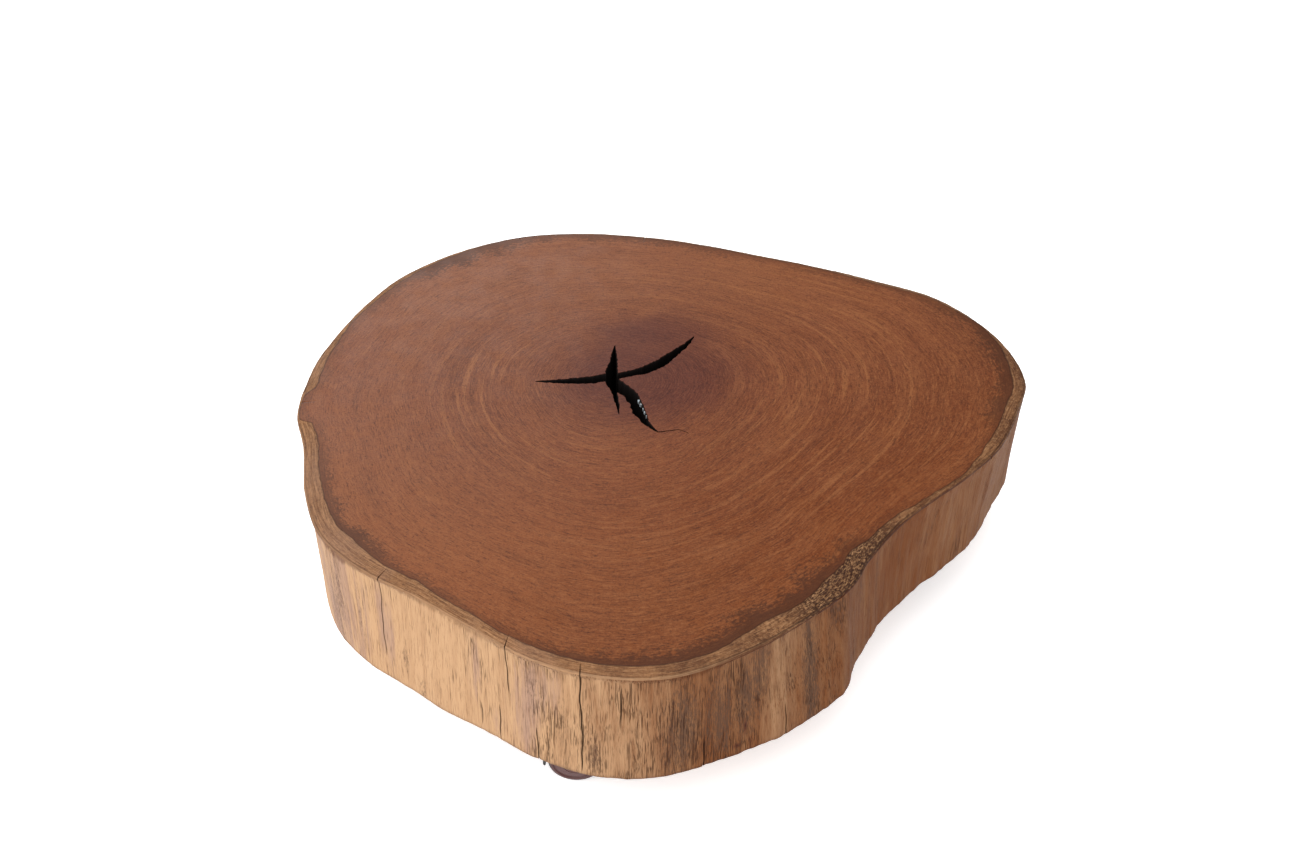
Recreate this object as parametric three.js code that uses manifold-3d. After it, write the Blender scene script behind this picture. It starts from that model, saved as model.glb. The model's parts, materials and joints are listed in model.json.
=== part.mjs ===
// Low table: one debarked slice of a tree trunk on four swivel casters with twin wheels.
// Millimetres, +Z up, floor at z = 0, origin under the middle of the bounding box, -Y is the front.
import * as THREE from "three";
import { mergeVertices } from "three/addons/utils/BufferGeometryUtils.js";
import Module from "manifold-3d";

const wasm = await Module();
wasm.setup();

// Driving dimensions of the slice
const SLICE_THICKNESS = 120;
const SLICE_POINTS = 190; // points round the outline
const HEART = new THREE.Vector2(-52, 67); // the pith, where the growth rings start

// The upper arris seen from above, counter-clockwise from the right-hand lobe
const RIM = [
  [352, 64], [337, 134], [286, 207], [227, 241], [166, 269], [104, 292], [40, 315], [-25, 331],
  [-91, 337], [-156, 329], [-219, 300], [-278, 249], [-312, 189], [-342, 106], [-350, 51],
  [-350, 8], [-337, -38], [-326, -103], [-303, -164], [-264, -206], [-211, -242], [-161, -279],
  [-113, -314], [-57, -334], [1, -335], [57, -311], [119, -266], [158, -227], [176, -193],
  [205, -151], [238, -117], [278, -79], [314, -35], [340, 25],
];

// How far the lower arris stands outside the upper one: [degrees round the heart, mm]
const FLARE = [
  [-170, -3], [-140, -4], [-125, 0], [-114, 5], [-103, 0], [-88, 2], [-78, -1], [-66, 6], [-57, 8],
  [-50, -1], [-40, -6], [-28, -12], [-12, -13], [0, -6], [30, 0], [90, -3], [150, -2],
];

// The wall from the lower arris up: [height, share of the flare, inset towards the heart, lip]
const WALL = [
  [0, 1, 1.5, 0],
  [2.5, 1, -0.8, 0],
  [32, 0.85, 0, 0.3],
  [62, 0.5, 0, 0.7],
  [92, 0.2, 0, 1],
  [107, 0, 0, 1],
  [113, 0, 0, 0.1],
  [117.4, 0, 0, 0],
  [119.2, 0, 2.6, 0],
  [SLICE_THICKNESS, 0, 9, 0],
];
const LIP = { depth: 6, angle: -38, spread: 34 }; // the wall is hollowed under the arris at the right front
// Shallow ribs down the wall, unevenly spaced by their drift
const FLUTE = { ridges: 11, depth: 1.4, drift: 1.3, fineRidges: 23, fineDepth: 0.6, fineDrift: 2.1 };

// The arms of the heart check on the upper face: centre line points [x, y, half width]
const CHECK_ARMS = {
  left: [[-126, 62, 0.3], [-104, 62, 3], [-84, 63, 4.8], [-69, 65, 5.6], [-56, 69, 5], [-46, 68, 4]],
  back: [[-49.5, 122, 0.3], [-50, 106, 2.4], [-51.5, 89, 4.3], [-53, 76, 5], [-52, 62, 6]],
  right: [
    [30, 138, 0.3], [22, 124, 2.3], [9, 108, 4.6], [-4, 92, 6.4], [-20, 81, 7], [-34, 76, 4.8],
    [-46, 72, 4], [-58, 67, 4],
  ],
  front: [
    [-6, -17, 0.3], [-17, -1, 3], [-22, 15, 5.8], [-26, 29, 4.6], [-31, 41, 5], [-39, 48, 6.6],
    [-49, 57, 7.5], [-53, 68, 6],
  ],
  spur: [[-44, 10, 0.3], [-46, 26, 1.6], [-49, 44, 3.6], [-50, 58, 4]],
};
const CHECK_TAPER = 0.55; // the check's width at the underside, as a share of its width on top
const CHECK_SHRINK = 0.8; // and the reach of its arms there
const CHECK_MARGIN = 1; // how far the cutting shape passes the slice's faces

// Driving dimensions of a caster
const GAP = 0.3; // clearance between pieces that touch
const CASTER_HEIGHT = 62; // floor to the top of the plate
const WHEEL = { radius: 25, width: 16, edge: 3, dome: 2.5, rimWidth: 4.5, cap: 11, bore: 3.3, segments: 28 };
const AXLE = { radius: 3, inWheel: 11, segments: 12 };
const WEB = { thickness: 14, radius: 28, hub: 8 }; // the hood's middle wall, between the wheels
const HOOD = { inner: 26.2, outer: 29, width: 47, from: -12, to: 182, segments: 10 };
const WEB_LEAN = 25; // how steeply the web's lower edges run down to its hub, in degrees
const TRAIL = 20; // from the kingpin's axis to the axle
const SOCKET = { radius: 10.5, top: 57.2, bottom: 33, bore: 4.3, segments: 20 };
const KINGPIN = { radius: 4, bottom: 34, segments: 16 };
const PLATE = { size: 60, thickness: 2.5, corner: 6, holeRadius: 2.6, pitch: 44, segments: 4 };
const SCREW = { shank: 2, length: 24, head: 4.4, crown: 2.4, headHeight: 2.2, point: 4, segments: 10 };
const PILOT = { radius: 2.3, depth: 26, margin: 1 };

// Where the kingpins stand, and which way each caster trails: [x, y, degrees]
const CASTERS = [
  [-59, -265, 0],
  [240, -8, -8],
  [56, 244, 8],
  [-262, 61, -4],
];

const material = (color, roughness, metalness = 0) =>
  new THREE.MeshStandardMaterial({ color, roughness, metalness });
const MATERIALS = {
  wood: () => material(0x8f5530, 0.55),
  steel: () => material(0xb9bcc0, 0.35, 1),
  nylon: () => material(0x17171a, 0.4),
  tread: () => material(0x2b2326, 0.5),
};

const radians = THREE.MathUtils.degToRad;

// A closed geometry as a solid that can be joined and cut
function solidOf(geometry) {
  const bare = geometry.index ? geometry.toNonIndexed() : geometry.clone();
  bare.deleteAttribute("normal");
  bare.deleteAttribute("uv");
  const merged = mergeVertices(bare, 1e-4);
  return new wasm.Manifold(
    new wasm.Mesh({
      numProp: 3,
      vertProperties: new Float32Array(merged.attributes.position.array),
      triVerts: new Uint32Array(merged.index.array),
    }),
  );
}

function geometryOf(solid) {
  const { vertProperties, triVerts } = solid.getMesh();
  const geometry = new THREE.BufferGeometry();
  geometry.setAttribute("position", new THREE.BufferAttribute(vertProperties, 3));
  geometry.setIndex(new THREE.BufferAttribute(triVerts, 1));
  const faceted = geometry.toNonIndexed();
  faceted.computeVertexNormals();
  return faceted;
}

function piece(name, geometry, finish) {
  const mesh = new THREE.Mesh(geometry, MATERIALS[finish]());
  mesh.name = name;
  return mesh;
}

// Triangles over one ring of points, turned to face up or down
function capTriangles(ring, up) {
  const flat = ring.map((p) => new THREE.Vector2(p.x, p.y));
  return THREE.ShapeUtils.triangulateShape(flat, []).map(([a, b, c]) => {
    const turn = flat[b].clone().sub(flat[a]).cross(flat[c].clone().sub(flat[a]));
    return turn > 0 === up ? [a, b, c] : [a, c, b];
  });
}

// A closed skin over level rings of equal count, lowest first, each counter-clockwise from above
function loft(rings, lowest = capTriangles(rings[0], false), highest = capTriangles(rings.at(-1), true)) {
  const count = rings[0].length;
  const faces = lowest.flat();
  for (let r = 0; r + 1 < rings.length; r++) {
    for (let i = 0; i < count; i++) {
      const a = r * count + i;
      const b = r * count + ((i + 1) % count);
      faces.push(a, b, b + count, a, b + count, a + count);
    }
  }
  const last = (rings.length - 1) * count;
  faces.push(...highest.flat().map((i) => last + i));
  const geometry = new THREE.BufferGeometry().setFromPoints(rings.flat());
  geometry.setIndex(faces);
  return geometry;
}

// The flare at an angle round the heart, smooth between its stated values
function flareAt(degrees) {
  const turn = (value) => THREE.MathUtils.euclideanModulo(value, 360);
  const next = FLARE.findIndex(([angle]) => angle > degrees);
  const high = next < 0 ? FLARE[0] : FLARE[next];
  const low = next < 1 ? FLARE.at(-1) : FLARE[next - 1];
  const share = turn(degrees - low[0]) / turn(high[0] - low[0]);
  return THREE.MathUtils.lerp(low[1], high[1], THREE.MathUtils.smoothstep(share, 0, 1));
}

// How deep the wall is hollowed under the arris at an angle round the heart
function lipAt(degrees) {
  const away = (degrees - LIP.angle) / LIP.spread;
  return LIP.depth * Math.exp(-away * away);
}

function fluteAt(angle) {
  const broad = Math.sin(FLUTE.ridges * angle + FLUTE.drift * Math.sin(3 * angle));
  const fine = Math.sin(FLUTE.fineRidges * angle + FLUTE.fineDrift * Math.sin(5 * angle));
  return FLUTE.depth * broad + FLUTE.fineDepth * fine;
}

// One level of the slice's outside: the rim's outline moved along lines through the heart
function sliceRing(outline, [height, flare, inset, lip]) {
  return outline.map((point) => {
    const arm = point.clone().sub(HEART);
    const angle = Math.atan2(arm.y, arm.x);
    const degrees = THREE.MathUtils.radToDeg(angle);
    const outward = flare * flareAt(degrees) - inset - lip * (lipAt(degrees) + fluteAt(angle));
    const moved = arm.setLength(arm.length() + outward).add(HEART);
    return new THREE.Vector3(moved.x, moved.y, height);
  });
}

function trunkSlice() {
  const curve = new THREE.CatmullRomCurve3(
    RIM.map(([x, y]) => new THREE.Vector3(x, y, 0)),
    true,
    "centripetal",
  );
  const outline = curve
    .getSpacedPoints(SLICE_POINTS)
    .slice(0, SLICE_POINTS)
    .map((p) => new THREE.Vector2(p.x, p.y));
  return solidOf(loft(WALL.map((level) => sliceRing(outline, level))));
}

// The two edges of one arm at a width and a reach, as a closed ring round its centre line
function armRing(arm, width, reach, z) {
  const line = arm.map(
    ([x, y]) => new THREE.Vector2(x, y).sub(HEART).multiplyScalar(reach).add(HEART),
  );
  const edge = (side) =>
    line.map((point, i) => {
      const along = line[Math.min(i + 1, line.length - 1)].clone().sub(line[Math.max(i - 1, 0)]);
      const across = new THREE.Vector2(-along.y, along.x).setLength(side * width * arm[i][2]);
      return new THREE.Vector3(point.x + across.x, point.y + across.y, z);
    });
  const ring = [...edge(1), ...edge(-1).reverse()];
  return THREE.ShapeUtils.isClockWise(ring) ? ring.reverse() : ring;
}

function heartCheck() {
  const arms = Object.values(CHECK_ARMS).map((arm) => {
    const top = armRing(arm, 1, 1, SLICE_THICKNESS + CHECK_MARGIN);
    const bottom = armRing(arm, CHECK_TAPER, CHECK_SHRINK, -CHECK_MARGIN);
    return solidOf(loft([bottom, top], capTriangles(top, false), capTriangles(top, true)));
  });
  return arms.reduce((whole, arm) => whole.add(arm));
}

const SCREW_PLACES = [[1, 1], [-1, 1], [-1, -1], [1, -1]].map(([x, y]) =>
  [x, y].map((side) => (side * PLATE.pitch) / 2),
);

// The blind holes for one caster's screws, in the slice's own height
function pilotHoles([x, y, degrees]) {
  const length = PILOT.depth + PILOT.margin;
  const hole = new THREE.CylinderGeometry(PILOT.radius, PILOT.radius, length, SCREW.segments);
  hole.rotateX(Math.PI / 2).translate(0, 0, length / 2 - PILOT.margin);
  const holes = SCREW_PLACES.map(([px, py]) => {
    const place = new THREE.Vector2(px, py).rotateAround(new THREE.Vector2(), radians(degrees));
    return solidOf(hole.clone().translate(x + place.x, y + place.y, 0));
  });
  return holes.reduce((whole, one) => whole.add(one));
}

function slice() {
  const cut = CASTERS.reduce((solid, place) => solid.subtract(pilotHoles(place)), trunkSlice());
  const mesh = piece("slice", geometryOf(cut.subtract(heartCheck())), "wood");
  mesh.position.z = CASTER_HEIGHT + GAP;
  return mesh;
}

// A closed lathe whose profile [radius, height] runs up from the axis and back to it
function turned(profile, segments) {
  const points = profile.map(([radius, height]) => new THREE.Vector2(radius, height));
  return new THREE.LatheGeometry(points, segments).rotateX(Math.PI / 2);
}

function plateGeometry() {
  const half = PLATE.size / 2;
  const inner = half - PLATE.corner;
  const shape = new THREE.Shape();
  shape.moveTo(half, -inner);
  shape.absarc(inner, inner, PLATE.corner, 0, Math.PI / 2);
  shape.absarc(-inner, inner, PLATE.corner, Math.PI / 2, Math.PI);
  shape.absarc(-inner, -inner, PLATE.corner, Math.PI, 1.5 * Math.PI);
  shape.absarc(inner, -inner, PLATE.corner, 1.5 * Math.PI, 2 * Math.PI);
  for (const [x, y] of SCREW_PLACES) {
    shape.holes.push(new THREE.Path().absarc(x, y, PLATE.holeRadius, 0, 2 * Math.PI, true));
  }
  return new THREE.ExtrudeGeometry(shape, {
    depth: PLATE.thickness,
    bevelEnabled: false,
    curveSegments: PLATE.segments,
  });
}

function screwGeometry() {
  const { shank, length, head, crown, headHeight, point, segments } = SCREW;
  return turned(
    [[0, -headHeight], [crown, -headHeight], [head, -headHeight / 2], [head, 0], [shank, 0],
      [shank, length - point], [0, length]],
    segments,
  );
}

// One wheel with its axle along +Z: the bore opens at z = 0, the domed outer face looks along +Z
function wheelGeometry() {
  const { radius, width, edge, dome, rimWidth, cap, bore, segments } = WHEEL;
  const face = width - dome;
  const boreEnd = AXLE.inWheel + GAP;
  return turned(
    [[0, boreEnd], [bore, boreEnd], [bore, 0], [radius - edge, 0], [radius, edge], [radius, face - edge],
      [radius - edge, face], [radius - rimWidth, face - GAP], [cap, width - GAP], [0, width]],
    segments,
  );
}

// The hood: an arched guard over both wheels, a web between them and a socket for the kingpin
function hoodGeometry() {
  const arc = (radius, from, to, clockwise) =>
    new THREE.Path().absarc(0, 0, radius, radians(from), radians(to), clockwise).getPoints(HOOD.segments);
  const guard = new THREE.Shape([
    ...arc(HOOD.outer, HOOD.from, HOOD.to, false),
    ...arc(HOOD.inner, HOOD.to, HOOD.from, true),
  ]);
  const web = new THREE.Shape([
    ...arc(WEB.radius, HOOD.from, HOOD.to, false),
    ...arc(WEB.hub, HOOD.to + WEB_LEAN, 360 + HOOD.from - WEB_LEAN, false),
  ]);
  const across = (shape, thickness) =>
    solidOf(
      new THREE.ExtrudeGeometry(shape, { depth: thickness, bevelEnabled: false })
        .translate(0, 0, -thickness / 2)
        .rotateX(Math.PI / 2)
        .translate(0, 0, WHEEL.radius),
    );
  const socketHeight = SOCKET.top - SOCKET.bottom;
  const upright = (radius, height, z, segments) =>
    solidOf(
      new THREE.CylinderGeometry(radius, radius, height, segments)
        .rotateX(Math.PI / 2)
        .translate(TRAIL, 0, z + height / 2),
    );
  const wheelRoom = (side) =>
    solidOf(
      new THREE.CylinderGeometry(HOOD.inner, HOOD.inner, HOOD.width, 2 * HOOD.segments).translate(
        0,
        side * (HOOD.width / 2 + WEB.thickness / 2),
        WHEEL.radius,
      ),
    );
  const bore = new THREE.CylinderGeometry(WHEEL.bore, WHEEL.bore, HOOD.width, AXLE.segments);
  const axleHole = solidOf(bore.translate(0, 0, WHEEL.radius));
  const solid = across(web, WEB.thickness)
    .add(upright(SOCKET.radius, socketHeight, SOCKET.bottom, SOCKET.segments))
    .subtract(wheelRoom(1))
    .subtract(wheelRoom(-1))
    .add(across(guard, HOOD.width))
    .subtract(upright(SOCKET.bore, socketHeight, KINGPIN.bottom - GAP, KINGPIN.segments))
    .subtract(axleHole);
  return geometryOf(solid);
}

// One caster round its kingpin, trailing along -X
function caster(number, [x, y, degrees]) {
  const name = `caster_${number}`;
  const group = new THREE.Group();
  group.position.set(x, y, 0);
  group.rotation.z = radians(degrees);

  const plateBottom = CASTER_HEIGHT - PLATE.thickness;
  const plate = piece(`${name}_plate`, plateGeometry(), "steel");
  plate.position.z = plateBottom;
  group.add(plate);

  SCREW_PLACES.forEach(([px, py], i) => {
    const screw = piece(`${name}_screw_${i + 1}`, screwGeometry(), "steel");
    screw.position.set(px, py, plateBottom - GAP);
    group.add(screw);
  });

  const pinHeight = plateBottom - GAP - KINGPIN.bottom;
  const pin = new THREE.CylinderGeometry(KINGPIN.radius, KINGPIN.radius, pinHeight, KINGPIN.segments);
  const kingpin = piece(`${name}_kingpin`, pin.rotateX(Math.PI / 2), "steel");
  kingpin.position.z = KINGPIN.bottom + pinHeight / 2;
  group.add(kingpin);

  const trailing = new THREE.Group();
  trailing.position.x = -TRAIL;
  group.add(trailing);
  trailing.add(piece(`${name}_hood`, hoodGeometry(), "nylon"));

  const axleLength = WEB.thickness + 2 * (GAP + AXLE.inWheel);
  const rod = new THREE.CylinderGeometry(AXLE.radius, AXLE.radius, axleLength, AXLE.segments);
  const axle = piece(`${name}_axle`, rod, "steel");
  axle.position.z = WHEEL.radius;
  trailing.add(axle);

  for (const [letter, side] of [["a", 1], ["b", -1]]) {
    const wheel = piece(`${name}_wheel_${letter}`, wheelGeometry(), "tread");
    wheel.rotation.x = (-side * Math.PI) / 2;
    wheel.position.set(0, side * (WEB.thickness / 2 + GAP), WHEEL.radius);
    trailing.add(wheel);
  }
  return group;
}

// The whole table, moved so that the origin is under the middle of its box
function table() {
  const whole = new THREE.Group();
  whole.add(slice());
  CASTERS.forEach((place, i) => whole.add(caster(i + 1, place)));
  whole.updateMatrixWorld(true);
  const middle = new THREE.Box3().setFromObject(whole).getCenter(new THREE.Vector3());
  whole.position.set(-middle.x, -middle.y, 0);
  return whole;
}

export default table();
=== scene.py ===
"""A low table: one debarked slice of a tree trunk on four small swivel casters.

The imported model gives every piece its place. This script gives each visible piece its fine shape and its
material, and adds a pale floor, soft lights and the camera.
"""

import json
import math

import bmesh
import bpy
import numpy as np
from mathutils import Matrix, Vector


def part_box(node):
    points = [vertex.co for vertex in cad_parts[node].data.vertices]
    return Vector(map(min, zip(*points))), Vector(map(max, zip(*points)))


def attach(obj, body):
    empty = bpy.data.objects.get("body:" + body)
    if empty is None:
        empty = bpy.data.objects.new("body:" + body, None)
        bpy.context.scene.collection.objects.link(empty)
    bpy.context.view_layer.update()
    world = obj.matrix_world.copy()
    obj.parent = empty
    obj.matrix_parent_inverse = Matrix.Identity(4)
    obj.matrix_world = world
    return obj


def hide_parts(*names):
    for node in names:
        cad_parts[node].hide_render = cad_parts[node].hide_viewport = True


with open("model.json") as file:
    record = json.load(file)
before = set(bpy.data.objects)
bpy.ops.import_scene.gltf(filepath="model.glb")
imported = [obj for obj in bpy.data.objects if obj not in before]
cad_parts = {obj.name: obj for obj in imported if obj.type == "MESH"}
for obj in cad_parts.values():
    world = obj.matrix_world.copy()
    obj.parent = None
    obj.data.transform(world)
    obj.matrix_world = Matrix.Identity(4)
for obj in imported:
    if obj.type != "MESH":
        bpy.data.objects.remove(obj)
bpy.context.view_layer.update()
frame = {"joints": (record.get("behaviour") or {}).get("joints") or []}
scene = bpy.context.scene

MM = 0.001


# Camera

PHOTO_WIDTH = 1299
FOCAL_PX = 1800
SENSOR_MM = 36.0
CAMERA_PITCH = 38.0
CAMERA_PLACE_MM = (-14.4, -1347.4, 1220.2)


def add_camera():
    data = bpy.data.cameras.new("camera")
    data.sensor_width = SENSOR_MM
    data.lens = SENSOR_MM * FOCAL_PX / PHOTO_WIDTH
    data.clip_end = 50
    camera = bpy.data.objects.new("camera", data)
    camera.location = Vector(CAMERA_PLACE_MM) * MM
    camera.rotation_euler = (math.radians(90 - CAMERA_PITCH), 0, 0)
    scene.collection.objects.link(camera)
    scene.camera = camera


# Small helpers


def srgb(red, green, blue):
    """A colour given in 0..255 as seen, in linear light."""
    def linear(value):
        value /= 255
        return value / 12.92 if value <= 0.04045 else ((value + 0.055) / 1.055) ** 2.4

    return (linear(red), linear(green), linear(blue), 1.0)


def turn_from(degrees, other):
    """Signed angle from other to degrees, from -180 to 180."""
    return (degrees - other + 180) % 360 - 180


def smoothstep(value, low, high):
    share = np.clip((value - low) / (high - low), 0, 1)
    return share * share * (3 - 2 * share)


def round_table(table, degrees):
    """Values of [degrees, value] pairs, smooth between them and all the way round."""
    keys = np.array(sorted(table), float)
    keys = np.vstack([keys[-1] - [360, 0], keys, keys[0] + [360, 0]])
    turned = (degrees - keys[1, 0]) % 360 + keys[1, 0]
    index = np.clip(np.searchsorted(keys[:, 0], turned, side="right"), 1, len(keys) - 1)
    low, high = keys[index - 1], keys[index]
    share = smoothstep(turned, low[:, 0], high[:, 0])
    return low[:, 1] + (high[:, 1] - low[:, 1]) * share


NOISE_ROWS = 64


def lattice_noise(across, up, period, seed):
    """Smooth noise from -1 to 1 on a grid of random values that repeats after period cells across."""
    table = np.random.default_rng(seed).uniform(-1, 1, (period, NOISE_ROWS))
    column, row = np.floor(across).astype(int), np.floor(up).astype(int)
    x, y = across - column, up - row
    x, y = x * x * (3 - 2 * x), y * y * (3 - 2 * y)
    left, right = column % period, (column + 1) % period
    low, high = row % NOISE_ROWS, (row + 1) % NOISE_ROWS
    bottom = table[left, low] * (1 - x) + table[right, low] * x
    top = table[left, high] * (1 - x) + table[right, high] * x
    return bottom * (1 - y) + top * y


def add_object(name, vertices_mm, faces):
    mesh = bpy.data.meshes.new(name)
    mesh.from_pydata((np.asarray(vertices_mm, float) * MM).tolist(), [], faces)
    mesh.update()
    piece = bpy.data.objects.new(name, mesh)
    scene.collection.objects.link(piece)
    return piece


def apply_modifiers(piece):
    graph = bpy.context.evaluated_depsgraph_get()
    made = bpy.data.meshes.new_from_object(piece.evaluated_get(graph))
    piece.modifiers.clear()
    piece.data = made


def shade_smooth(piece, sharp_degrees=40):
    mesh = piece.data
    mesh.shade_smooth()
    mesh.set_sharp_from_angle(angle=math.radians(sharp_degrees))


# Which of the Mix node's sockets are the ones for colours
MIX_SHARE, MIX_FIRST, MIX_SECOND, MIX_RESULT = 0, 6, 7, 2


class Shader:
    """Builds one procedural material. Each method adds a node and returns its output socket."""

    def __init__(self, name):
        self.material = bpy.data.materials.new(name)
        self.material.use_nodes = True
        self.tree = self.material.node_tree
        self.surface = self.tree.nodes["Principled BSDF"]

    def feed(self, sockets, values):
        for key, value in values.items():
            if isinstance(value, bpy.types.NodeSocket):
                self.tree.links.new(value, sockets[key])
            else:
                sockets[key].default_value = value

    def node(self, kind, inputs, output=0, **settings):
        made = self.tree.nodes.new(kind)
        for key, value in settings.items():
            setattr(made, key, value)
        self.feed(made.inputs, inputs)
        return made.outputs[output]

    def place(self):
        return self.node("ShaderNodeTexCoord", {}, output="Object")

    def attribute(self, name):
        return self.node("ShaderNodeAttribute", {}, output="Fac", attribute_name=name)

    def math(self, operation, first, second=0.0, third=0.0):
        return self.node("ShaderNodeMath", {0: first, 1: second, 2: third}, operation=operation)

    def times(self, first, second):
        return self.math("MULTIPLY", first, second)

    def swing(self, value, reach, base=0.0):
        """The base, moved by reach times how far the value lies from one half."""
        return self.math("MULTIPLY_ADD", self.math("SUBTRACT", value, 0.5), reach, base)

    def stretch(self, place, scale, offset=(0.0, 0.0, 0.0)):
        return self.node("ShaderNodeMapping", {"Vector": place, "Scale": scale, "Location": offset})

    def noise(self, place, scale, detail=2.0, roughness=0.5):
        inputs = {"Vector": place, "Scale": scale, "Detail": detail, "Roughness": roughness}
        return self.node("ShaderNodeTexNoise", inputs)

    def drawn_up(self, place, share, scale, detail=2.0, roughness=0.5):
        """Noise drawn out upwards, as the grain runs: the share is its own scale in that direction."""
        return self.noise(self.stretch(place, (1, 1, share)), scale, detail, roughness)

    def cells(self, place, scale):
        return self.node("ShaderNodeTexVoronoi", {"Vector": place, "Scale": scale}, output="Distance")

    def ramp(self, value, low, high, start=0.0, end=1.0, smooth=True):
        """The value moved from low..high to start..end and held at the ends."""
        inputs = {"Value": value, "From Min": low, "From Max": high, "To Min": start, "To Max": end}
        kind = "SMOOTHSTEP" if smooth else "LINEAR"
        return self.node("ShaderNodeMapRange", inputs, interpolation_type=kind)

    def mix(self, share, first, second, blend="MIX"):
        inputs = {MIX_SHARE: share, MIX_FIRST: first, MIX_SECOND: second}
        settings = {"data_type": "RGBA", "blend_type": blend, "clamp_factor": True}
        return self.node("ShaderNodeMix", inputs, MIX_RESULT, **settings)

    def layers(self, colour, rows):
        """The colour with each row laid over it: (share, colour), or (value, low, high, share, colour), which
        shows nothing of the row's colour at the low value and its whole share at the high one."""
        for *by, over in rows:
            share = by[0] if len(by) == 1 else self.ramp(*by[:3], 0.0, by[3])
            colour = self.mix(share, colour, over)
        return colour

    def bump(self, height, depth_mm):
        return self.node("ShaderNodeBump", {"Height": height, "Distance": depth_mm * MM, "Strength": 1.0})

    def set(self, **values):
        self.feed(self.surface.inputs, {key.replace("_", " "): value for key, value in values.items()})
        return self.material


# The slice's outline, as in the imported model, in millimetres about the middle of its box

SHIFT = np.array([0.46, 0.73])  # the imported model's move of the outline to the middle of its box
HEART = np.array([-52.0, 67.0]) + SHIFT
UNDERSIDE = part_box("slice")[0].z / MM
THICKNESS = 120.0
RIM = [
    (352, 64), (337, 134), (286, 207), (227, 241), (166, 269), (104, 292), (40, 315), (-25, 331),
    (-91, 337), (-156, 329), (-219, 300), (-278, 249), (-312, 189), (-342, 106), (-350, 51),
    (-350, 8), (-337, -38), (-326, -103), (-303, -164), (-264, -206), (-211, -242), (-161, -279),
    (-113, -314), (-57, -334), (1, -335), (57, -311), (119, -266), (158, -227), (176, -193),
    (205, -151), (238, -117), (278, -79), (314, -35), (340, 25),
]
# How far the foot stands out from the arris: [degrees round the heart, mm]
FLARE = [
    (-170, -3), (-140, -4), (-125, 0), (-114, 5), (-103, 0), (-88, 2), (-78, -1), (-66, 6), (-57, 8),
    (-50, -1), (-40, -6), (-28, -12), (-12, -13), (0, -6), (30, 0), (90, -3), (150, -2),
]
# Two hollows under the arris, one at the right and a shallower one at the left: mm, degrees, degrees
LIP_DEPTH, LIP_ANGLE, LIP_SPREAD = 6.0, -38.0, 34.0
LEFT_DEPTH, LEFT_ANGLE, LEFT_SPREAD = 3.0, -156.0, 17.0

# Sapwood band on the top, from the arris inwards: [degrees round the heart, mm]
BAND = [
    (-180, 12), (-177.5, 12), (-174.5, 4), (-170, 2.5), (-167.5, 3), (-165.5, 14), (-160, 15), (-155, 14.5),
    (-146, 17.5), (-138, 18), (-133, 20), (-128, 17.5), (-124, 15.5), (-119, 15), (-114, 11.5), (-108, 12),
    (-105, 10.5), (-100, 12.8), (-90, 13), (-82, 13.6), (-76, 13.2), (-72.5, 17), (-69, 20), (-64, 16.5),
    (-61, 18), (-57, 22), (-51, 20.5), (-45, 12), (-39, 9.5), (-34, 6), (-28, 4.6), (-24.5, 4.2), (-20, 9),
    (-16, 13), (-8, 12.5), (0, 13.5), (4.5, 10.5), (9, 6), (14, 4), (20, 6.5), (30, 9), (45, 6), (75, 5),
    (98, 5.5), (110, 3.6), (121, 5), (145, 8.5), (160, 5.5), (170, 9),
]
# Dark line along the arris, partly the wood's own dark edge and partly painted shadow under the overhanging
# lip: [degrees round the heart, strength]
ARRIS_LINE = [
    (-180, 0.5), (-175, 1.0), (-168, 1.0), (-164, 0.5), (-150, 0.35), (-138, 0.6), (-122, 0.45),
    (-110, 0.35), (-100, 0.25), (-90, 0.2), (-80, 0.45), (-72, 0.8), (-60, 1.0), (-20, 1.0), (0, 0.6),
    (12, 0.4), (90, 0.35),
]

# Drying checks in the wall: (degrees round the heart, lowest mm, highest, width, depth, reach into the top)
CHECKS = [
    (-124.3, 30, 120, 0.55, 2.2, 16), (-102.4, 66, 120, 0.5, 2.4, 14), (-103.9, 6, 40, 0.4, 1.6, 0),
    (-106.9, 10, 32, 0.3, 1.0, 0), (-98.4, 0, 35, 0.45, 2.4, 0), (-92.7, 8, 120, 0.6, 3.4, 12),
    (-78.1, 0, 29, 0.5, 2.2, 0), (-18.7, 104, 120, 0.8, 3.0, 8), (-172.5, 90, 120, 1.2, 4.0, 10),
    (-88.0, 64, 104, 0.35, 1.2, 0), (-66.5, 0, 34, 0.35, 1.2, 0), (18, 20, 120, 0.6, 3.0, 10),
    (52, 0, 66, 0.55, 2.5, 0), (83, 40, 120, 0.7, 3.2, 12), (112, 0, 120, 0.65, 3.0, 9),
    (141, 30, 96, 0.55, 2.2, 0), (166, 0, 58, 0.6, 2.5, 0),
]
CHECK_SHADE_HALF = 0.55  # half width of the painted shade in a check


def closed_curve(points, steps=60):
    """A centripetal Catmull-Rom curve through the points and back to the first."""
    points = np.array(points, float)
    made = []
    for i in range(len(points)):
        p = [points[(i + k - 1) % len(points)] for k in range(4)]
        knots = np.concatenate([[0], np.cumsum([math.dist(p[k], p[k + 1]) ** 0.5 for k in range(3)])])
        for u in np.linspace(knots[1], knots[2], steps, endpoint=False):
            a = [(knots[k + 1] - u) * p[k] + (u - knots[k]) * p[k + 1] for k in range(3)]
            a = [a[k] / (knots[k + 1] - knots[k]) for k in range(3)]
            b = [(knots[k + 2] - u) * a[k] + (u - knots[k]) * a[k + 1] for k in range(2)]
            b = [b[k] / (knots[k + 2] - knots[k]) for k in range(2)]
            made.append(((knots[2] - u) * b[0] + (u - knots[1]) * b[1]) / (knots[2] - knots[1]))
    return np.array(made)


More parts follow.
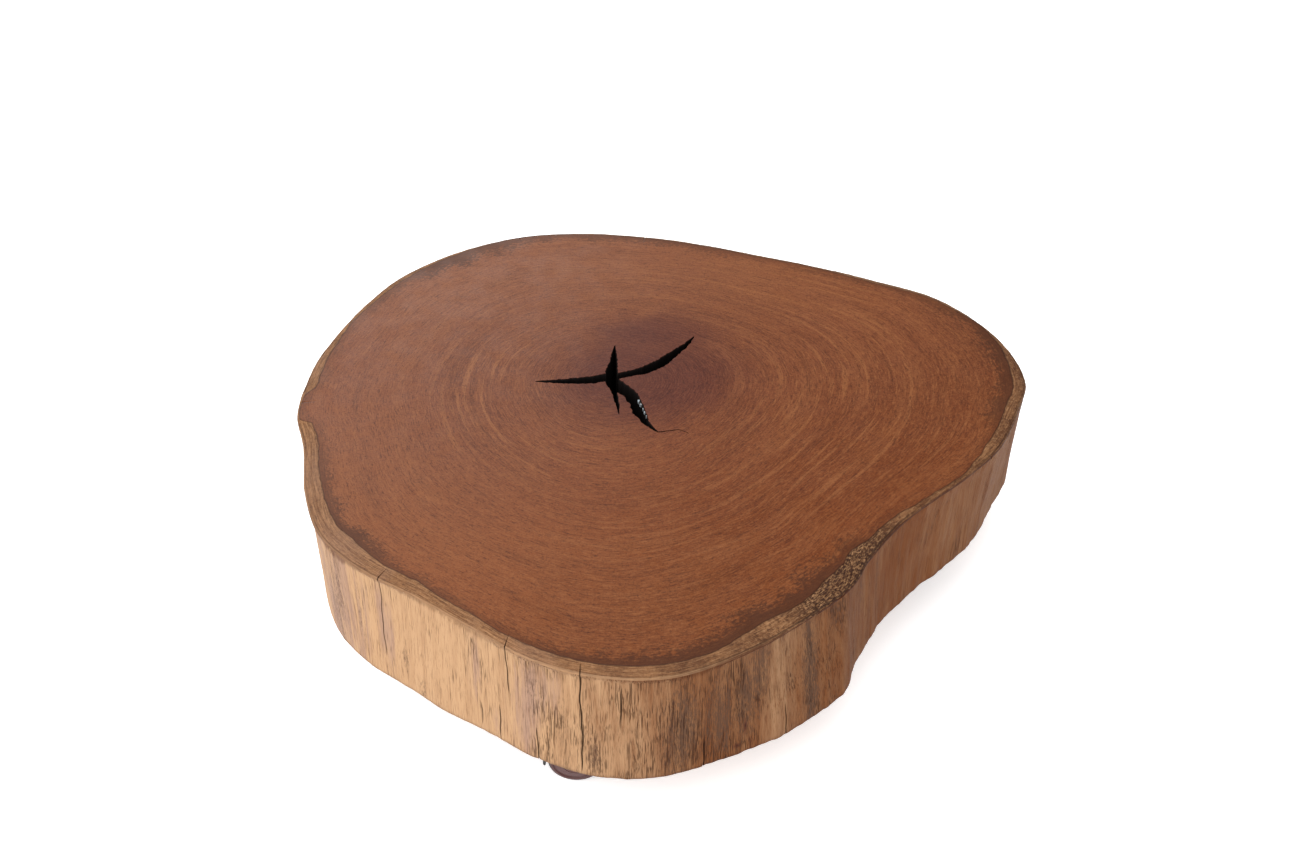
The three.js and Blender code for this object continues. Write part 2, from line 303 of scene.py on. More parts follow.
def lengths_along(points):
    """How far along a line each of its points lies."""
    return np.concatenate([[0], np.cumsum(np.linalg.norm(np.diff(points, axis=0), axis=1))])


class Outline:
    """The upper arris with its columns: evenly spaced, and close together at each drying check."""

    COLUMNS = 760
    CHECK_COLUMNS = (-2.0, -1.0, -0.55, -0.25, 0.0, 0.25, 0.55, 1.0, 2.0)
    CHECK_ROOM = 3.2  # how far the evenly spaced columns stay away from a check

    def __init__(self):
        curve = closed_curve(RIM) + SHIFT
        looped = np.vstack([curve, curve[:1]])
        self.curve_arc = lengths_along(looped)
        self.length = self.curve_arc[-1]
        self.curve = looped
        angles = np.degrees(np.unwrap(np.radians(self.angle_of(looped))))
        turned = [(check[0] - angles[0]) % 360 + angles[0] for check in CHECKS]
        self.check_arcs = list(np.interp(turned, angles, self.curve_arc))
        even = np.arange(self.COLUMNS) * self.length / self.COLUMNS
        near = [arc + step for arc in self.check_arcs for step in self.CHECK_COLUMNS]
        gaps = np.abs(self.away(even[:, None], np.array(self.check_arcs))).min(axis=1)
        kept = list(even[gaps > self.CHECK_ROOM])
        self.arc = np.sort(np.array(kept + near) % self.length)
        self.point = self.at(self.arc)
        self.angle = self.angle_of(self.point)
        arm = self.point - HEART
        self.radius = np.linalg.norm(arm, axis=1)
        self.ray = arm / self.radius[:, None]

    def at(self, arc):
        return np.stack([np.interp(arc, self.curve_arc, self.curve[:, k]) for k in (0, 1)], axis=1)

    @staticmethod
    def angle_of(point):
        return np.degrees(np.arctan2(point[:, 1] - HEART[1], point[:, 0] - HEART[0]))

    def away(self, arc, other):
        """Signed distance along the outline from other to arc."""
        return (arc - other + self.length / 2) % self.length - self.length / 2


outline = Outline()


def at_rim(degrees, values):
    """What the outline's columns have as values, at any angle round the heart."""
    return np.interp(degrees, outline.angle, values, period=360)


# The slice as one fine closed mesh

INNER_STEP = 4.0  # between the rows round the heart, where only every fourth column is used
INNER_REACH = 150.0
FLAT_ROWS = 11  # from there to the sapwood band
WALL_ROWS = 36
EDGE_DROP = 1.7  # how far the sapwood band slopes down to the arris
EDGE_ROUND = 1.6
ARRIS = THICKNESS - EDGE_DROP - EDGE_ROUND
SEAM_DEPTH, SEAM_PLACE, SEAM_WIDTH = 0.45, 2.0, 0.7  # a groove along the arris, outside the band's bead
PIT_CELLS, PIT_SIZE = 420, 2.6  # pits in the band: cells round the slice, and mm across the band
CHECK_TOP_DEPTH = 1.8
LOW_FADE, HIGH_FADE = 8, (4, 6)  # how far a check fades: both ways at its foot, below and above its head
CHECK_PULL = 7  # how far from a check the columns wander with it
WALL_INSET = 0.8  # how far the wall lies inside the rim apart from its hollows and flutes
# How much of the flare and of the hollow under the arris there is: [height in mm, share]
FLARE_SHARE = [(0, 1), (4, 1), (32, 0.85), (62, 0.5), (92, 0.2), (107, 0)]
HOLLOW_SHARE = [(0, 0), (4, 0), (32, 0.3), (62, 0.7), (92, 1), (107, 1), (120, 1)]
# Rows across the band, as shares of its width, and then in mm inside the arris
BAND_SHARES = (1.06, 1.01, 0.97, 0.9, 0.78, 0.66, 0.54, 0.44, 0.36, 0.28, 0.18)
EDGE_ROWS = (1.2, 0.8, 0.35, 0.0)
# Rows just below the arris: (mm below it, share of the wall's own shape)
LIP_ROWS = ((1.0, 0.04), (2.0, 0.25), (3.0, 0.6), (4.2, 0.88), (5.6, 1.0))
FOOT_ROWS = ((1.4, 0.15), (0.5, 0.6), (0.0, 1.5))  # (height, how far the foot's edge is eased)
UNDERSIDE_SHARES = (0.97, 0.86, 0.6, 0.3)

# How rough the band's surface is, in mm, and how marked its groove: [degrees round the heart, value]
BAND_ROUGH = [
    (-180, 0.25), (-160, 0.15), (-100, 0.15), (-78, 0.2), (-66, 0.6), (-58, 1.3), (-48, 1.0), (-36, 0.4),
    (-20, 0.3), (0, 0.35), (60, 0.2),
]
SEAM = [
    (-180, 0.8), (-150, 0.3), (-128, 0.9), (-100, 0.6), (-80, 0.8), (-60, 0.9), (-45, 1.0), (0, 0.9),
    (90, 0.4),
]
# How deep the wall's fibres are, deeper at the front and right than at the left: [degrees, share]
WALL_ROUGH = [(-180, 0.7), (-130, 0.45), (-110, 0.5), (-95, 0.9), (-60, 1.2), (0, 0.9), (90, 0.9)]


def lip_at(degrees):
    return LIP_DEPTH * np.exp(-(((degrees - LIP_ANGLE) / LIP_SPREAD) ** 2))


def flute_at(degrees):
    angle = np.radians(degrees)
    broad = np.sin(11 * angle + 1.3 * np.sin(3 * angle))
    fine = np.sin(23 * angle + 2.1 * np.sin(5 * angle))
    return 1.4 * broad + 0.6 * fine


def along_noise(cells, seed, height=0.5):
    """Noise along the outline, one value for each column, at a height in cells."""
    turn = outline.arc / outline.length
    return lattice_noise(turn * cells, height + 0 * turn, cells, seed)


def band_width():
    wobble = 0.035 * along_noise(90, 11) + 0.04 * along_noise(260, 12)
    return round_table(BAND, outline.angle) * (1 + wobble)


def wall_relief(height):
    """How far the fibres draw the wall inwards, in mm, for each column at a height."""
    broad = along_noise(130, 21, height / 170)
    medium = along_noise(330, 22, height / 70)
    fine = along_noise(640, 23, height / 26)
    return round_table(WALL_ROUGH, outline.angle) * (0.55 * broad + 0.4 * medium + 0.26 * fine)


def check_wave(number, height):
    return 0.6 * np.sin(height / 13 + 2.1 * number) + 0.35 * np.sin(height / 4.7 + number)


def check_wander(height):
    """How far each column is shifted along the outline at a height, so that the checks wander."""
    shift = np.zeros_like(outline.arc)
    for number, arc in enumerate(outline.check_arcs):
        near = np.exp(-((outline.away(outline.arc, arc) / CHECK_PULL) ** 2))
        shift += near * check_wave(number, height)
    return shift


def check_fade(check, height):
    """How much of a check there is at a height: one that ends inside the wall fades out there."""
    low, high = check[1:3]
    fade = smoothstep(height, low - LOW_FADE, low + LOW_FADE) if low > 0 else 1.0
    below, above = HIGH_FADE
    return fade * (1 - smoothstep(height, high - below, high + above) if high < THICKNESS else 1.0)


def check_depth(height):
    """How deep the checks cut each column at a height."""
    depth = np.zeros_like(outline.arc)
    for check, arc in zip(CHECKS, outline.check_arcs):
        away = np.abs(outline.away(outline.arc, arc))
        cut = check[4] * check_fade(check, height) * np.clip(1 - away / check[3], 0, 1)
        depth = np.maximum(depth, cut)
    return depth


def check_on_top(inwards):
    depth = np.zeros_like(outline.arc)
    for check, arc in zip(CHECKS, outline.check_arcs):
        if check[5]:
            away = np.abs(outline.away(outline.arc, arc))
            fade = np.clip(1 - inwards / check[5], 0, 1)
            width = check[3] * (0.3 + 0.7 * fade)
            depth = np.maximum(depth, CHECK_TOP_DEPTH * fade * np.clip(1 - away / width, 0, 1))
    return depth


def arris_wobble():
    return 0.5 * along_noise(70, 31) + 0.35 * along_noise(240, 32) - 0.3


def top_row(inwards, band):
    """Radius and height of a row that lies inwards of the arris, one value for each column."""
    share = np.clip(1 - inwards / band, 0, 1)
    drop = EDGE_DROP * share**1.6
    bend = np.clip(EDGE_ROUND - inwards, 0, EDGE_ROUND)
    drop = drop + EDGE_ROUND - np.sqrt(EDGE_ROUND**2 - bend**2)
    seam_place = SEAM_PLACE + 0.5 * along_noise(60, 42)
    seam = np.exp(-(((inwards - seam_place) / SEAM_WIDTH) ** 2))
    drop = drop + SEAM_DEPTH * round_table(SEAM, outline.angle) * seam
    pits = along_noise(PIT_CELLS, 41, inwards / PIT_SIZE)
    rough = round_table(BAND_ROUGH, outline.angle)
    drop = drop + np.clip(share * 6, 0, 1) * rough * np.clip(pits, -0.2, 1)
    radius = outline.radius + arris_wobble() * share - inwards
    return radius, THICKNESS - np.maximum(drop, 0) - check_on_top(inwards)


def wall_row(height, lip_share, foot_inset=0.0):
    """Radius of the wall's row at a height, one value for each column."""
    flare = round_table(FLARE, outline.angle)
    share = np.interp(height, *zip(*FLARE_SHARE))
    hollow = np.interp(height, *zip(*HOLLOW_SHARE)) * lip_share
    left = LEFT_DEPTH * np.exp(-(((outline.angle - LEFT_ANGLE) / LEFT_SPREAD) ** 2))
    inset = hollow * (lip_at(outline.angle) + flute_at(outline.angle) + WALL_INSET)
    inset = inset + left * lip_share + foot_inset
    inset = inset + lip_share * wall_relief(height) + check_depth(height)
    return outline.radius + arris_wobble() * (1 - lip_share) + share * flare - inset


def outer_rows():
    """Rows of (radius, height, shift along the outline) from the flat top over the wall to the underside."""
    still = np.zeros_like(outline.arc)

    def wall(height, share=1.0, inset=0.0):
        # The foot's edge keeps the checks where they are at height 0
        return wall_row(height, share, inset), still + height, check_wander(0 if inset else height)

    band = band_width()
    flat = outline.radius - band - 3
    inner = np.minimum(INNER_REACH, flat - 20)
    rows = [(inner + (flat - inner) * k / FLAT_ROWS, still + THICKNESS, still) for k in range(FLAT_ROWS + 1)]
    rows += [(*top_row(band * share, band), still) for share in BAND_SHARES]
    rows += [(*top_row(still + inwards, band), check_wander(THICKNESS)) for inwards in EDGE_ROWS]
    rows += [wall(ARRIS - below, share) for below, share in LIP_ROWS]
    rows += [wall(height) for height in np.linspace(ARRIS - 8.5, 3, WALL_ROWS)]
    rows += [wall(height, inset=inset) for height, inset in FOOT_ROWS]
    foot = rows[-1][0]
    return rows + [(foot * share, still, still) for share in UNDERSIDE_SHARES]


def fan_strip(inner, outer, picks, count):
    """Triangles between a ring of picked columns and a ring of all columns."""
    faces = []
    for a, start in enumerate(picks):
        b = (a + 1) % len(picks)
        stop = picks[b] if b else count
        middle = (start + stop) // 2
        for k in range(start, stop):
            apex = a if k < middle else b
            faces.append((inner + apex, outer + k, outer + (k + 1) % count))
        faces.append((inner + a, outer + middle % count, inner + b))
    return faces


def slice_mesh():
    rows = outer_rows()
    columns = len(outline.arc)
    picks = list(range(0, columns, 4))
    top = THICKNESS + UNDERSIDE
    vertices = [(*HEART, top)]
    inner_edge = rows[0][0][picks]
    inner_rows = int(INNER_REACH / INNER_STEP)
    for k in range(1, inner_rows):
        point = HEART + outline.ray[picks] * (inner_edge * k / inner_rows)[:, None]
        vertices.extend((x, y, top) for x, y in point)
    first = len(vertices)
    ahead, behind = (outline.at((outline.arc + step) % outline.length) for step in (0.5, -0.5))
    along = ahead - behind
    for radius, height, shift in rows:
        point = HEART + outline.ray * radius[:, None]
        if np.any(shift):
            point = point + along * shift[:, None]
        vertices.extend(np.column_stack([point, height + UNDERSIDE]).tolist())
    vertices.append((*HEART, UNDERSIDE))

    ring = len(picks)
    faces = []
    for i in range(ring):
        j = (i + 1) % ring
        faces.append((0, 1 + i, 1 + j))
        for r in range(inner_rows - 2):
            low, high = 1 + r * ring, 1 + (r + 1) * ring
            faces.append((low + i, high + i, high + j, low + j))
    faces += fan_strip(first - ring, first, picks, columns)
    last = first + (len(rows) - 1) * columns
    for i in range(columns):
        j = (i + 1) % columns
        for r in range(len(rows) - 1):
            low, high = first + r * columns, first + (r + 1) * columns
            faces.append((low + i, high + i, high + j, low + j))
        faces.append((last + i, len(vertices) - 1, last + j))
    return add_object("trunk_slice", vertices, faces)


# The heart check: arms that run from the pith, [x, y, half width] in mm along each centre line

CHECK_ARMS = {
    "left": [(-126, 62, 0.25), (-104, 62, 2.6), (-84, 63, 4.6), (-69, 65, 5.6), (-56, 69, 5.6), (-46, 68, 5)],
    "back": [(-49.5, 122, 0.25), (-50, 108, 1.9), (-50.5, 92, 3.6), (-52, 78, 5.4), (-53, 62, 6.8)],
    "right": [
        (30, 138, 0.25), (22, 124, 2.2), (9, 108, 4.3), (-4, 92, 5.8), (-20, 80, 5.6), (-34, 75, 4.2),
        (-46, 71, 4.4), (-58, 67, 4),
    ],
    "front": [
        (-9, -17, 0.25), (-18.5, -3, 2.6), (-24, 13, 5.2), (-28, 28, 5.4), (-32, 40, 5.6), (-39, 48, 6.8),
        (-48, 57, 7.8), (-53, 68, 6),
    ],
    "spur": [(-44, 10, 0.25), (-45.5, 26, 1.3), (-48.5, 44, 2.4), (-50, 58, 4)],
    "hairline": [(22, -20, 0.2), (13, -14.3, 0.5), (2.5, -16.3, 0.45), (-7, -18.5, 0.7), (-14, -8, 0.9)],
}
ARM_STEP = 2.2
# Chips along the front arm: [share of its length, mm]
CHIPPED = [(0, 0), (0.2, 0), (0.35, 1.6), (0.6, 1.6), (0.75, 0), (1, 0)]
# (height above the top, share of the width, share of the reach, extra width in mm)
ARM_LEVELS = [
    (1.5, 1.0, 1.0, 1.6), (-0.9, 1.0, 1.0, 0.1), (-2.5, 0.98, 1.0, 0.0), (-8, 0.95, 0.99, 0.0),
    (-20, 0.9, 0.97, 0.0), (-48, 0.78, 0.92, 0.0), (-84, 0.66, 0.86, 0.0), (-122, 0.55, 0.8, 0.0),
]
HAIRLINE_LEVELS = [(1.5, 1.0, 1.0, 0.5), (-1.0, 1.0, 1.0, 0.0), (-9.0, 0.3, 1.0, 0.0)]


def fine_line(points):
    """The centre line and half width of an arm at even steps."""
    points = np.array(points, float)
    along = lengths_along(points[:, :2])
    fine = np.linspace(0, along[-1], max(4, int(along[-1] / ARM_STEP)))
    return np.stack([np.interp(fine, along, points[:, k]) for k in range(3)], axis=1)


def ring_faces(rings, count):
    """Quads between rings of count points each."""
    return [
        (low + i, low + (i + 1) % count, low + count + (i + 1) % count, low + count + i)
        for low in range(0, (rings - 1) * count, count)
        for i in range(count)
    ]


def arm_cutter(name, seed):
    """A closed ragged wedge that cuts one arm of the check out of the slice."""
    line = fine_line(CHECK_ARMS[name])
    centre = line[:, :2] + SHIFT
    along = np.gradient(centre, axis=0)
    across = np.column_stack([-along[:, 1], along[:, 0]]) / np.linalg.norm(along, axis=1)[:, None]
    random = np.random.default_rng(seed)
    count = len(line)
    ragged = random.uniform(-1, 1, (2, count)) * np.minimum(0.6, line[:, 2] * 0.3)
    if name == "front":
        chips = np.interp(np.arange(count) / (count - 1), *zip(*CHIPPED))
        ragged[0] = ragged[0] + chips * np.abs(random.uniform(-1, 1, count)) ** 0.7
    levels = HAIRLINE_LEVELS if name == "hairline" else ARM_LEVELS
    vertices = []
    for depth, width, reach, extra in levels:
        rough = random.uniform(-1, 1, (2, count)) * 0.45 * min(1.0, max(0.0, -depth / 10))
        rough = rough * np.minimum(1, line[:, 2] / 3)
        extra = extra * np.minimum(1, 0.3 + line[:, 2] / 2)
        spine = HEART + (centre - HEART) * reach
        left = spine + across * ((line[:, 2] + ragged[0]) * width + rough[0] + extra)[:, None]
        right = spine - across * ((line[:, 2] + ragged[1]) * width + rough[1] + extra)[:, None]
        ring = np.vstack([left, right[::-1]])
        level = np.full(len(ring), UNDERSIDE + THICKNESS + depth)
        vertices.extend(np.column_stack([ring, level]).tolist())
    ring = 2 * count
    faces = ring_faces(len(levels), ring)
    for base, flip in ((0, False), ((len(levels) - 1) * ring, True)):
        for i in range(count - 1):
            quad = (base + i, base + i + 1, base + ring - 2 - i, base + ring - 1 - i)
            faces.append(quad if flip else quad[::-1])
    return add_object("cutter_" + name, vertices, faces)


def turned_outwards(piece):
    """The piece with its faces turned to look outwards."""
    made = bmesh.new()
    made.from_mesh(piece.data)
    bmesh.ops.recalc_face_normals(made, faces=made.faces)
    if made.calc_volume(signed=True) < 0:
        bmesh.ops.reverse_faces(made, faces=made.faces)
    made.to_mesh(piece.data)
    made.free()
    return piece


def combine(piece, other, operation):
    modifier = piece.modifiers.new(operation, "BOOLEAN")
    modifier.operation = operation
    modifier.solver = "MANIFOLD"
    modifier.object = other
    apply_modifiers(piece)
    bpy.data.objects.remove(other)


def cut_heart_check(piece):
    for seed, name in enumerate(CHECK_ARMS):
        combine(piece, turned_outwards(arm_cutter(name, 50 + seed)), "DIFFERENCE")


# Splinters that stand out from the check's torn edge, coloured as a painted glint: (x, y, length, reach into
# the gap, depth below the top)
SPLINTERS = [
    (-16.6, 8.5, 3.6, 2.0, 1.2), (-18.0, 14.5, 4.4, 2.6, 0.8), (-20.2, 21.0, 3.6, 1.8, 1.8),
    (-22.2, 27.0, 4.2, 2.6, 0.9), (-24.4, 33.5, 4.0, 2.2, 1.6),
]


SPLINTER_HEIGHTS = (-0.6, -0.4, 0.1, -0.3, -5.0, -2.4, -4.5, -6.0)
SPLINTER_FACES = ((0, 1, 2, 3), (7, 6, 5, 4), (0, 4, 5, 1), (1, 5, 6, 2), (2, 6, 7, 3), (3, 7, 4, 0))


def add_splinters():
    """Torn chips on the right edge of the front arm, coloured pale bluish white as a painted glint."""
    random = np.random.default_rng(77)
    vertices, faces = [], []
    along, across = np.array([-0.42, 0.907]), np.array([-0.907, -0.42])
    top = UNDERSIDE + THICKNESS
    for x, y, length, reach, depth in SPLINTERS:
        root = np.array([x, y]) + SHIFT
        base = len(vertices)
        tip = root + across * reach + along * random.uniform(-1.2, 1.2)
        near = root - along * length / 2 - across * 1.5
        far = root + along * length / 2 - across * 1.5
        shoulder = root + across * reach * 0.55 + along * length * 0.28
        corners = (near, tip, shoulder, far)
        for point, up in zip(corners + corners, SPLINTER_HEIGHTS):
            vertices.append((*point, top - depth + up))
        faces += [tuple(base + k for k in quad) for quad in SPLINTER_FACES]
    piece = turned_outwards(add_object("check_splinters", vertices, faces))
    piece.data.materials.append(glint_splinter_material())
    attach(piece, "table")


# What the slice's materials need to know at each point

# Dark stain inside the sapwood band: [degrees round the heart, strength] and [degrees, mm]
STAIN = [
    (-180, 0.35), (-165, 0.3), (-150, 0.6), (-135, 0.9), (-118, 0.6), (-105, 0.4), (-95, 0.75), (-82, 0.88),
    (-70, 0.95), (-60, 0.95), (-50, 0.75), (-42, 0.3), (-30, 0.15), (-18, 0.25), (-6, 0.8), (8, 0.95),
    (25, 0.6), (50, 0.45), (75, 0.7), (100, 0.65), (118, 0.85), (132, 0.95), (145, 0.6), (160, 0.35),
]
STAIN_WIDTH = [
    (-180, 12), (-150, 15), (-135, 18), (-118, 13), (-100, 12), (-85, 22), (-72, 30), (-60, 30), (-45, 14),
    (-20, 10), (0, 24), (12, 24), (40, 14), (75, 18), (100, 18), (125, 30), (145, 18),
]
# How brown the wall and the band are, partly their own colour and partly painted shade that darkens them
# towards the right, away from the light, and how marked the wall's dashes: [degrees round the heart, share]
WALL_TONE = [
    (-180, 0.3), (-140, 0.1), (-128, 0.1), (-118, 0.02), (-108, 0.05), (-98, 0.2), (-94, 0.24), (-89, 0.44),
    (-84, 0.68), (-80, 0.92), (-75.5, 0.98), (-72, 0.92), (-67.5, 0.64), (-64, 0.85), (-57, 0.97), (-45, 1.0),
    (-39, 1.06), (-30, 0.98), (-20, 0.85), (5, 0.9), (20, 0.65), (60, 0.5), (100, 0.55), (140, 0.4),
]
# Paler, pinkish weathering on the wall: (degrees, height, half width in degrees, half height, strength)
PINK_PATCHES = [
    (-152, 60, 9.0, 130, 0.7), (-134, 50, 7.0, 130, 0.8), (-123.8, 60, 1.2, 60, 0.8),
    (-107.6, 70, 1.0, 40, 0.6), (-104.6, 20, 0.9, 26, 0.6), (-99.8, 66, 2.4, 60, 0.8),
    (-96.6, 90, 1.2, 30, 0.6), (176, 60, 8.0, 90, 0.6),
]
# Grey weathered patches on the wall: (degrees, height, half width in degrees, half height, strength)
GREY_PATCHES = [
    (-134.5, 60, 2.6, 80, 0.6), (-128.8, 60, 1.2, 60, 0.35), (-117.4, 10, 0.9, 16, 0.8),
    (-120.4, 36, 0.7, 18, 0.6), (-99, 84, 2.2, 34, 0.35), (-95.0, 50, 1.0, 50, 0.3),
    (-91.2, 22, 1.0, 30, 0.75), (-80.8, 52, 2.6, 60, 0.95), (-76.0, 50, 1.6, 60, 0.9),
    (-72.6, 62, 1.8, 60, 0.85), (-70.2, 90, 1.4, 40, 0.7), (-66.0, 108, 2.2, 12, 0.3),
    (-62.2, 50, 1.4, 75, 1.1), (-57.0, 96, 1.8, 26, 0.7), (-49, 84, 1.2, 36, 0.6),
    (-43.5, 76, 1.2, 46, 0.6), (-30, 70, 2.2, 60, 0.25), (8, 60, 3, 60, 0.5), (40, 60, 3, 80, 0.8),
    (75, 40, 5, 60, 0.6), (104, 80, 3, 60, 0.7), (128, 50, 5, 60, 0.55), (158, 60, 4, 70, 0.7),
]
DASHES = [
    (-180, 0.5), (-140, 0.25), (-128, 0.05), (-118, 0.05), (-108, 0.35), (-98, 0.7), (-90, 1.05), (-74, 1.1),
    (-68, 0.5), (-62, 0.85), (-45, 0.35), (0, 0.3), (90, 0.6),
]
# Purplish stain round the heart check: (x, y, half width, half depth, strength)
HALOES = [
    (-18, 72, 112, 100, 1.0), (-8, 140, 90, 50, 0.8), (30, 96, 70, 50, 0.62),
]
HALO_FADE = 1.2
# How marked the rings are: [degrees, strength] close to the heart at the left, and further out at the right
RINGS_NEAR = [
    (-180, 1.0), (-150, 1.0), (-120, 0.8), (-90, 0.35), (-40, 0.15), (40, 0.1), (110, 0.2), (140, 0.6),
    (160, 0.9),
]
RINGS_FAR = [(-180, 0.2), (-110, 0.25), (-70, 0.5), (-30, 0.85), (30, 0.8), (70, 0.5), (120, 0.3)]
RING_ZONES = ((RINGS_NEAR, 125, 62), (RINGS_FAR, 235, 130))  # (table, radius, how far it reaches either way)
RING_SMOOTHING = 34.0  # how many degrees of the rim each ring near the heart is averaged over
TOP, WALL, CHECK, BELOW = range(4)  # the slice's materials, in the order of their slots


def smooth_rim(degrees):
    """The rim's radius averaged over a wide angle, so that the rings near the heart are rounder."""
    grid = np.arange(-180, 180, 1.0)
    weight = np.exp(-((turn_from(grid[:, None], grid[None, :]) / RING_SMOOTHING) ** 2))
    return np.interp(degrees, grid, (weight @ at_rim(grid, outline.radius)) / weight.sum(axis=1), period=360)


def store(mesh, name, values):
    attribute = mesh.attributes.new(name, "FLOAT", "POINT")
    attribute.data.foreach_set("value", np.asarray(values, np.float32))


def read_vectors(elements, name):
    """An array of one vector for each element of a mesh."""
    values = np.zeros(len(elements) * 3, np.float32)
    elements.foreach_get(name, values)
    return values.reshape(-1, 3)


def patches(table, degrees, height):
    total = np.zeros(len(degrees))
    for angle, middle, wide, tall, strength in table:
        away = (turn_from(degrees, angle) / wide) ** 2 + ((height - middle) / tall) ** 2
        total += strength * np.exp(-away)
    return np.clip(total, 0, 1)


def shade_of_checks(degrees, height, inwards):
    """How much painted shade darkens the drying checks at each point."""
    arc = at_rim(degrees, outline.arc)
    check_shade = np.zeros(len(degrees))
    for number, (check, centre_arc) in enumerate(zip(CHECKS, outline.check_arcs)):
        fade = check_fade(check, height) * np.clip(1 - inwards / max(check[5], 0.1), 0, 1)
        away = np.abs(outline.away(arc, centre_arc + check_wave(number, height)))
        check_shade = np.maximum(check_shade, fade * np.clip(1.3 - away / CHECK_SHADE_HALF, 0, 1))
    return check_shade


def paint_slice(piece):
    """Stores the wood's age, its zones and its stains at each point, and gives each face its material."""
    mesh = piece.data
    place = read_vectors(mesh.vertices, "co").astype(float) / MM
    point, height = place[:, :2], place[:, 2] - UNDERSIDE
    degrees = Outline.angle_of(point)
    radius = np.linalg.norm(point - HEART, axis=1)
    rim = at_rim(degrees, outline.radius)
    outer = np.clip(radius / rim, 0, 1.1) ** 2.5
    round_rim = smooth_rim(degrees)
    halo = np.zeros(len(place))
    for x, y, wide, deep, strength in HALOES:
        away = ((point[:, 0] - x) / wide) ** 2 + ((point[:, 1] - y) / deep) ** 2
        halo = np.maximum(halo, strength * np.exp(-away * HALO_FADE))
    marked = [
        round_table(table, degrees) * np.exp(-(((radius - middle) / reach) ** 2))
        for table, middle, reach in RING_ZONES
    ]
    inwards = np.where(height > THICKNESS - EDGE_DROP - 0.2, rim - radius, 0)
    for name, values in {
        "age": radius / (round_rim + (rim - round_rim) * outer),
        "edge": (rim - radius) / 10,
        "band": at_rim(degrees, band_width()) / 10,
        "stain": round_table(STAIN, degrees),
        "stain_width": round_table(STAIN_WIDTH, degrees) / 10,
        "rough": round_table(BAND_ROUGH, degrees),
        "tone": round_table(WALL_TONE, degrees),
        "dashes": round_table(DASHES, degrees),
        "line": round_table(ARRIS_LINE, degrees),
        # lip: where the painted shade under the overhanging lip is strongest
        "lip": np.clip(1.4 * lip_at(degrees) / LIP_DEPTH, 0, 1),
        "up": height / THICKNESS,
        "halo": halo,
        "marked": np.maximum(*marked),
        "check_shade": shade_of_checks(degrees, height, inwards),
        "grey": patches(GREY_PATCHES, degrees, height),
        "pink": patches(PINK_PATCHES, degrees, height),
    }.items():
        store(mesh, name, values)

    centre, looks_up = read_vectors(mesh.polygons, "center") / MM, read_vectors(mesh.polygons, "normal")[:, 2]
    level = centre[:, 2] - UNDERSIDE
    out = np.linalg.norm(centre[:, :2] - HEART, axis=1)
    near_rim = out > 0.8 * at_rim(Outline.angle_of(centre), outline.radius)
    slot = np.full(len(level), WALL)
    slot[level > THICKNESS - EDGE_DROP - EDGE_ROUND - 0.1] = TOP
    slot[~near_rim] = CHECK
    slot[~near_rim & (looks_up > 0.9) & (level > THICKNESS - 0.2)] = TOP
    slot[near_rim & (looks_up > 0.6) & (level > THICKNESS - 6)] = TOP
    slot[(looks_up < -0.8) & (level < 1)] = BELOW
    mesh.polygons.foreach_set("material_index", slot.astype(np.int32))
    mesh.update()


# Wood materials

HEARTWOOD = srgb(108, 60, 36)
HEARTWOOD_WARM = srgb(114, 57, 23)
HEARTWOOD_PALE = srgb(130, 81, 48)
HEARTWOOD_DARK = srgb(60, 29, 16)
PITH_TINT = (0.49, 0.38, 0.60, 1)  # what the wood's own colour is multiplied by round the heart check
CENTRE_TINT = (0.90, 0.88, 0.87, 1)  # and over the whole middle of the top
EDGE_STAIN = srgb(58, 32, 19)
SAPWOOD = srgb(132, 92, 60)
SAPWOOD_PALE = srgb(160, 122, 86)
SAPWOOD_WORN = srgb(116, 76, 46)
SAPWOOD_BROWN = srgb(76, 43, 23)
ARRIS_DARK = srgb(62, 27, 6)
WALL_PALE = srgb(165, 131, 98)
WALL_BROWN = srgb(94, 50, 22)
WALL_DARK = srgb(48, 27, 16)
WALL_GREY = srgb(74, 54, 42)
WALL_TAN = srgb(112, 69, 37)
WALL_PINK = srgb(138, 110, 96)
# Painted shade in the drying checks: near black
CHECK_SHADE = srgb(26, 14, 9)


def noise_along_lines(s, axes, level):
    """A maker of noise that is drawn out along the lines on which a level stays the same."""

    def noise(in_plane, across, detail=2.0, roughness=0.5):
        inputs = {name: s.times(axes[name], in_plane) for name in "XY"}
        inputs["Z"] = s.times(level, across)
        return s.noise(s.node("ShaderNodeCombineXYZ", inputs), 1.0, detail, roughness)

    return noise


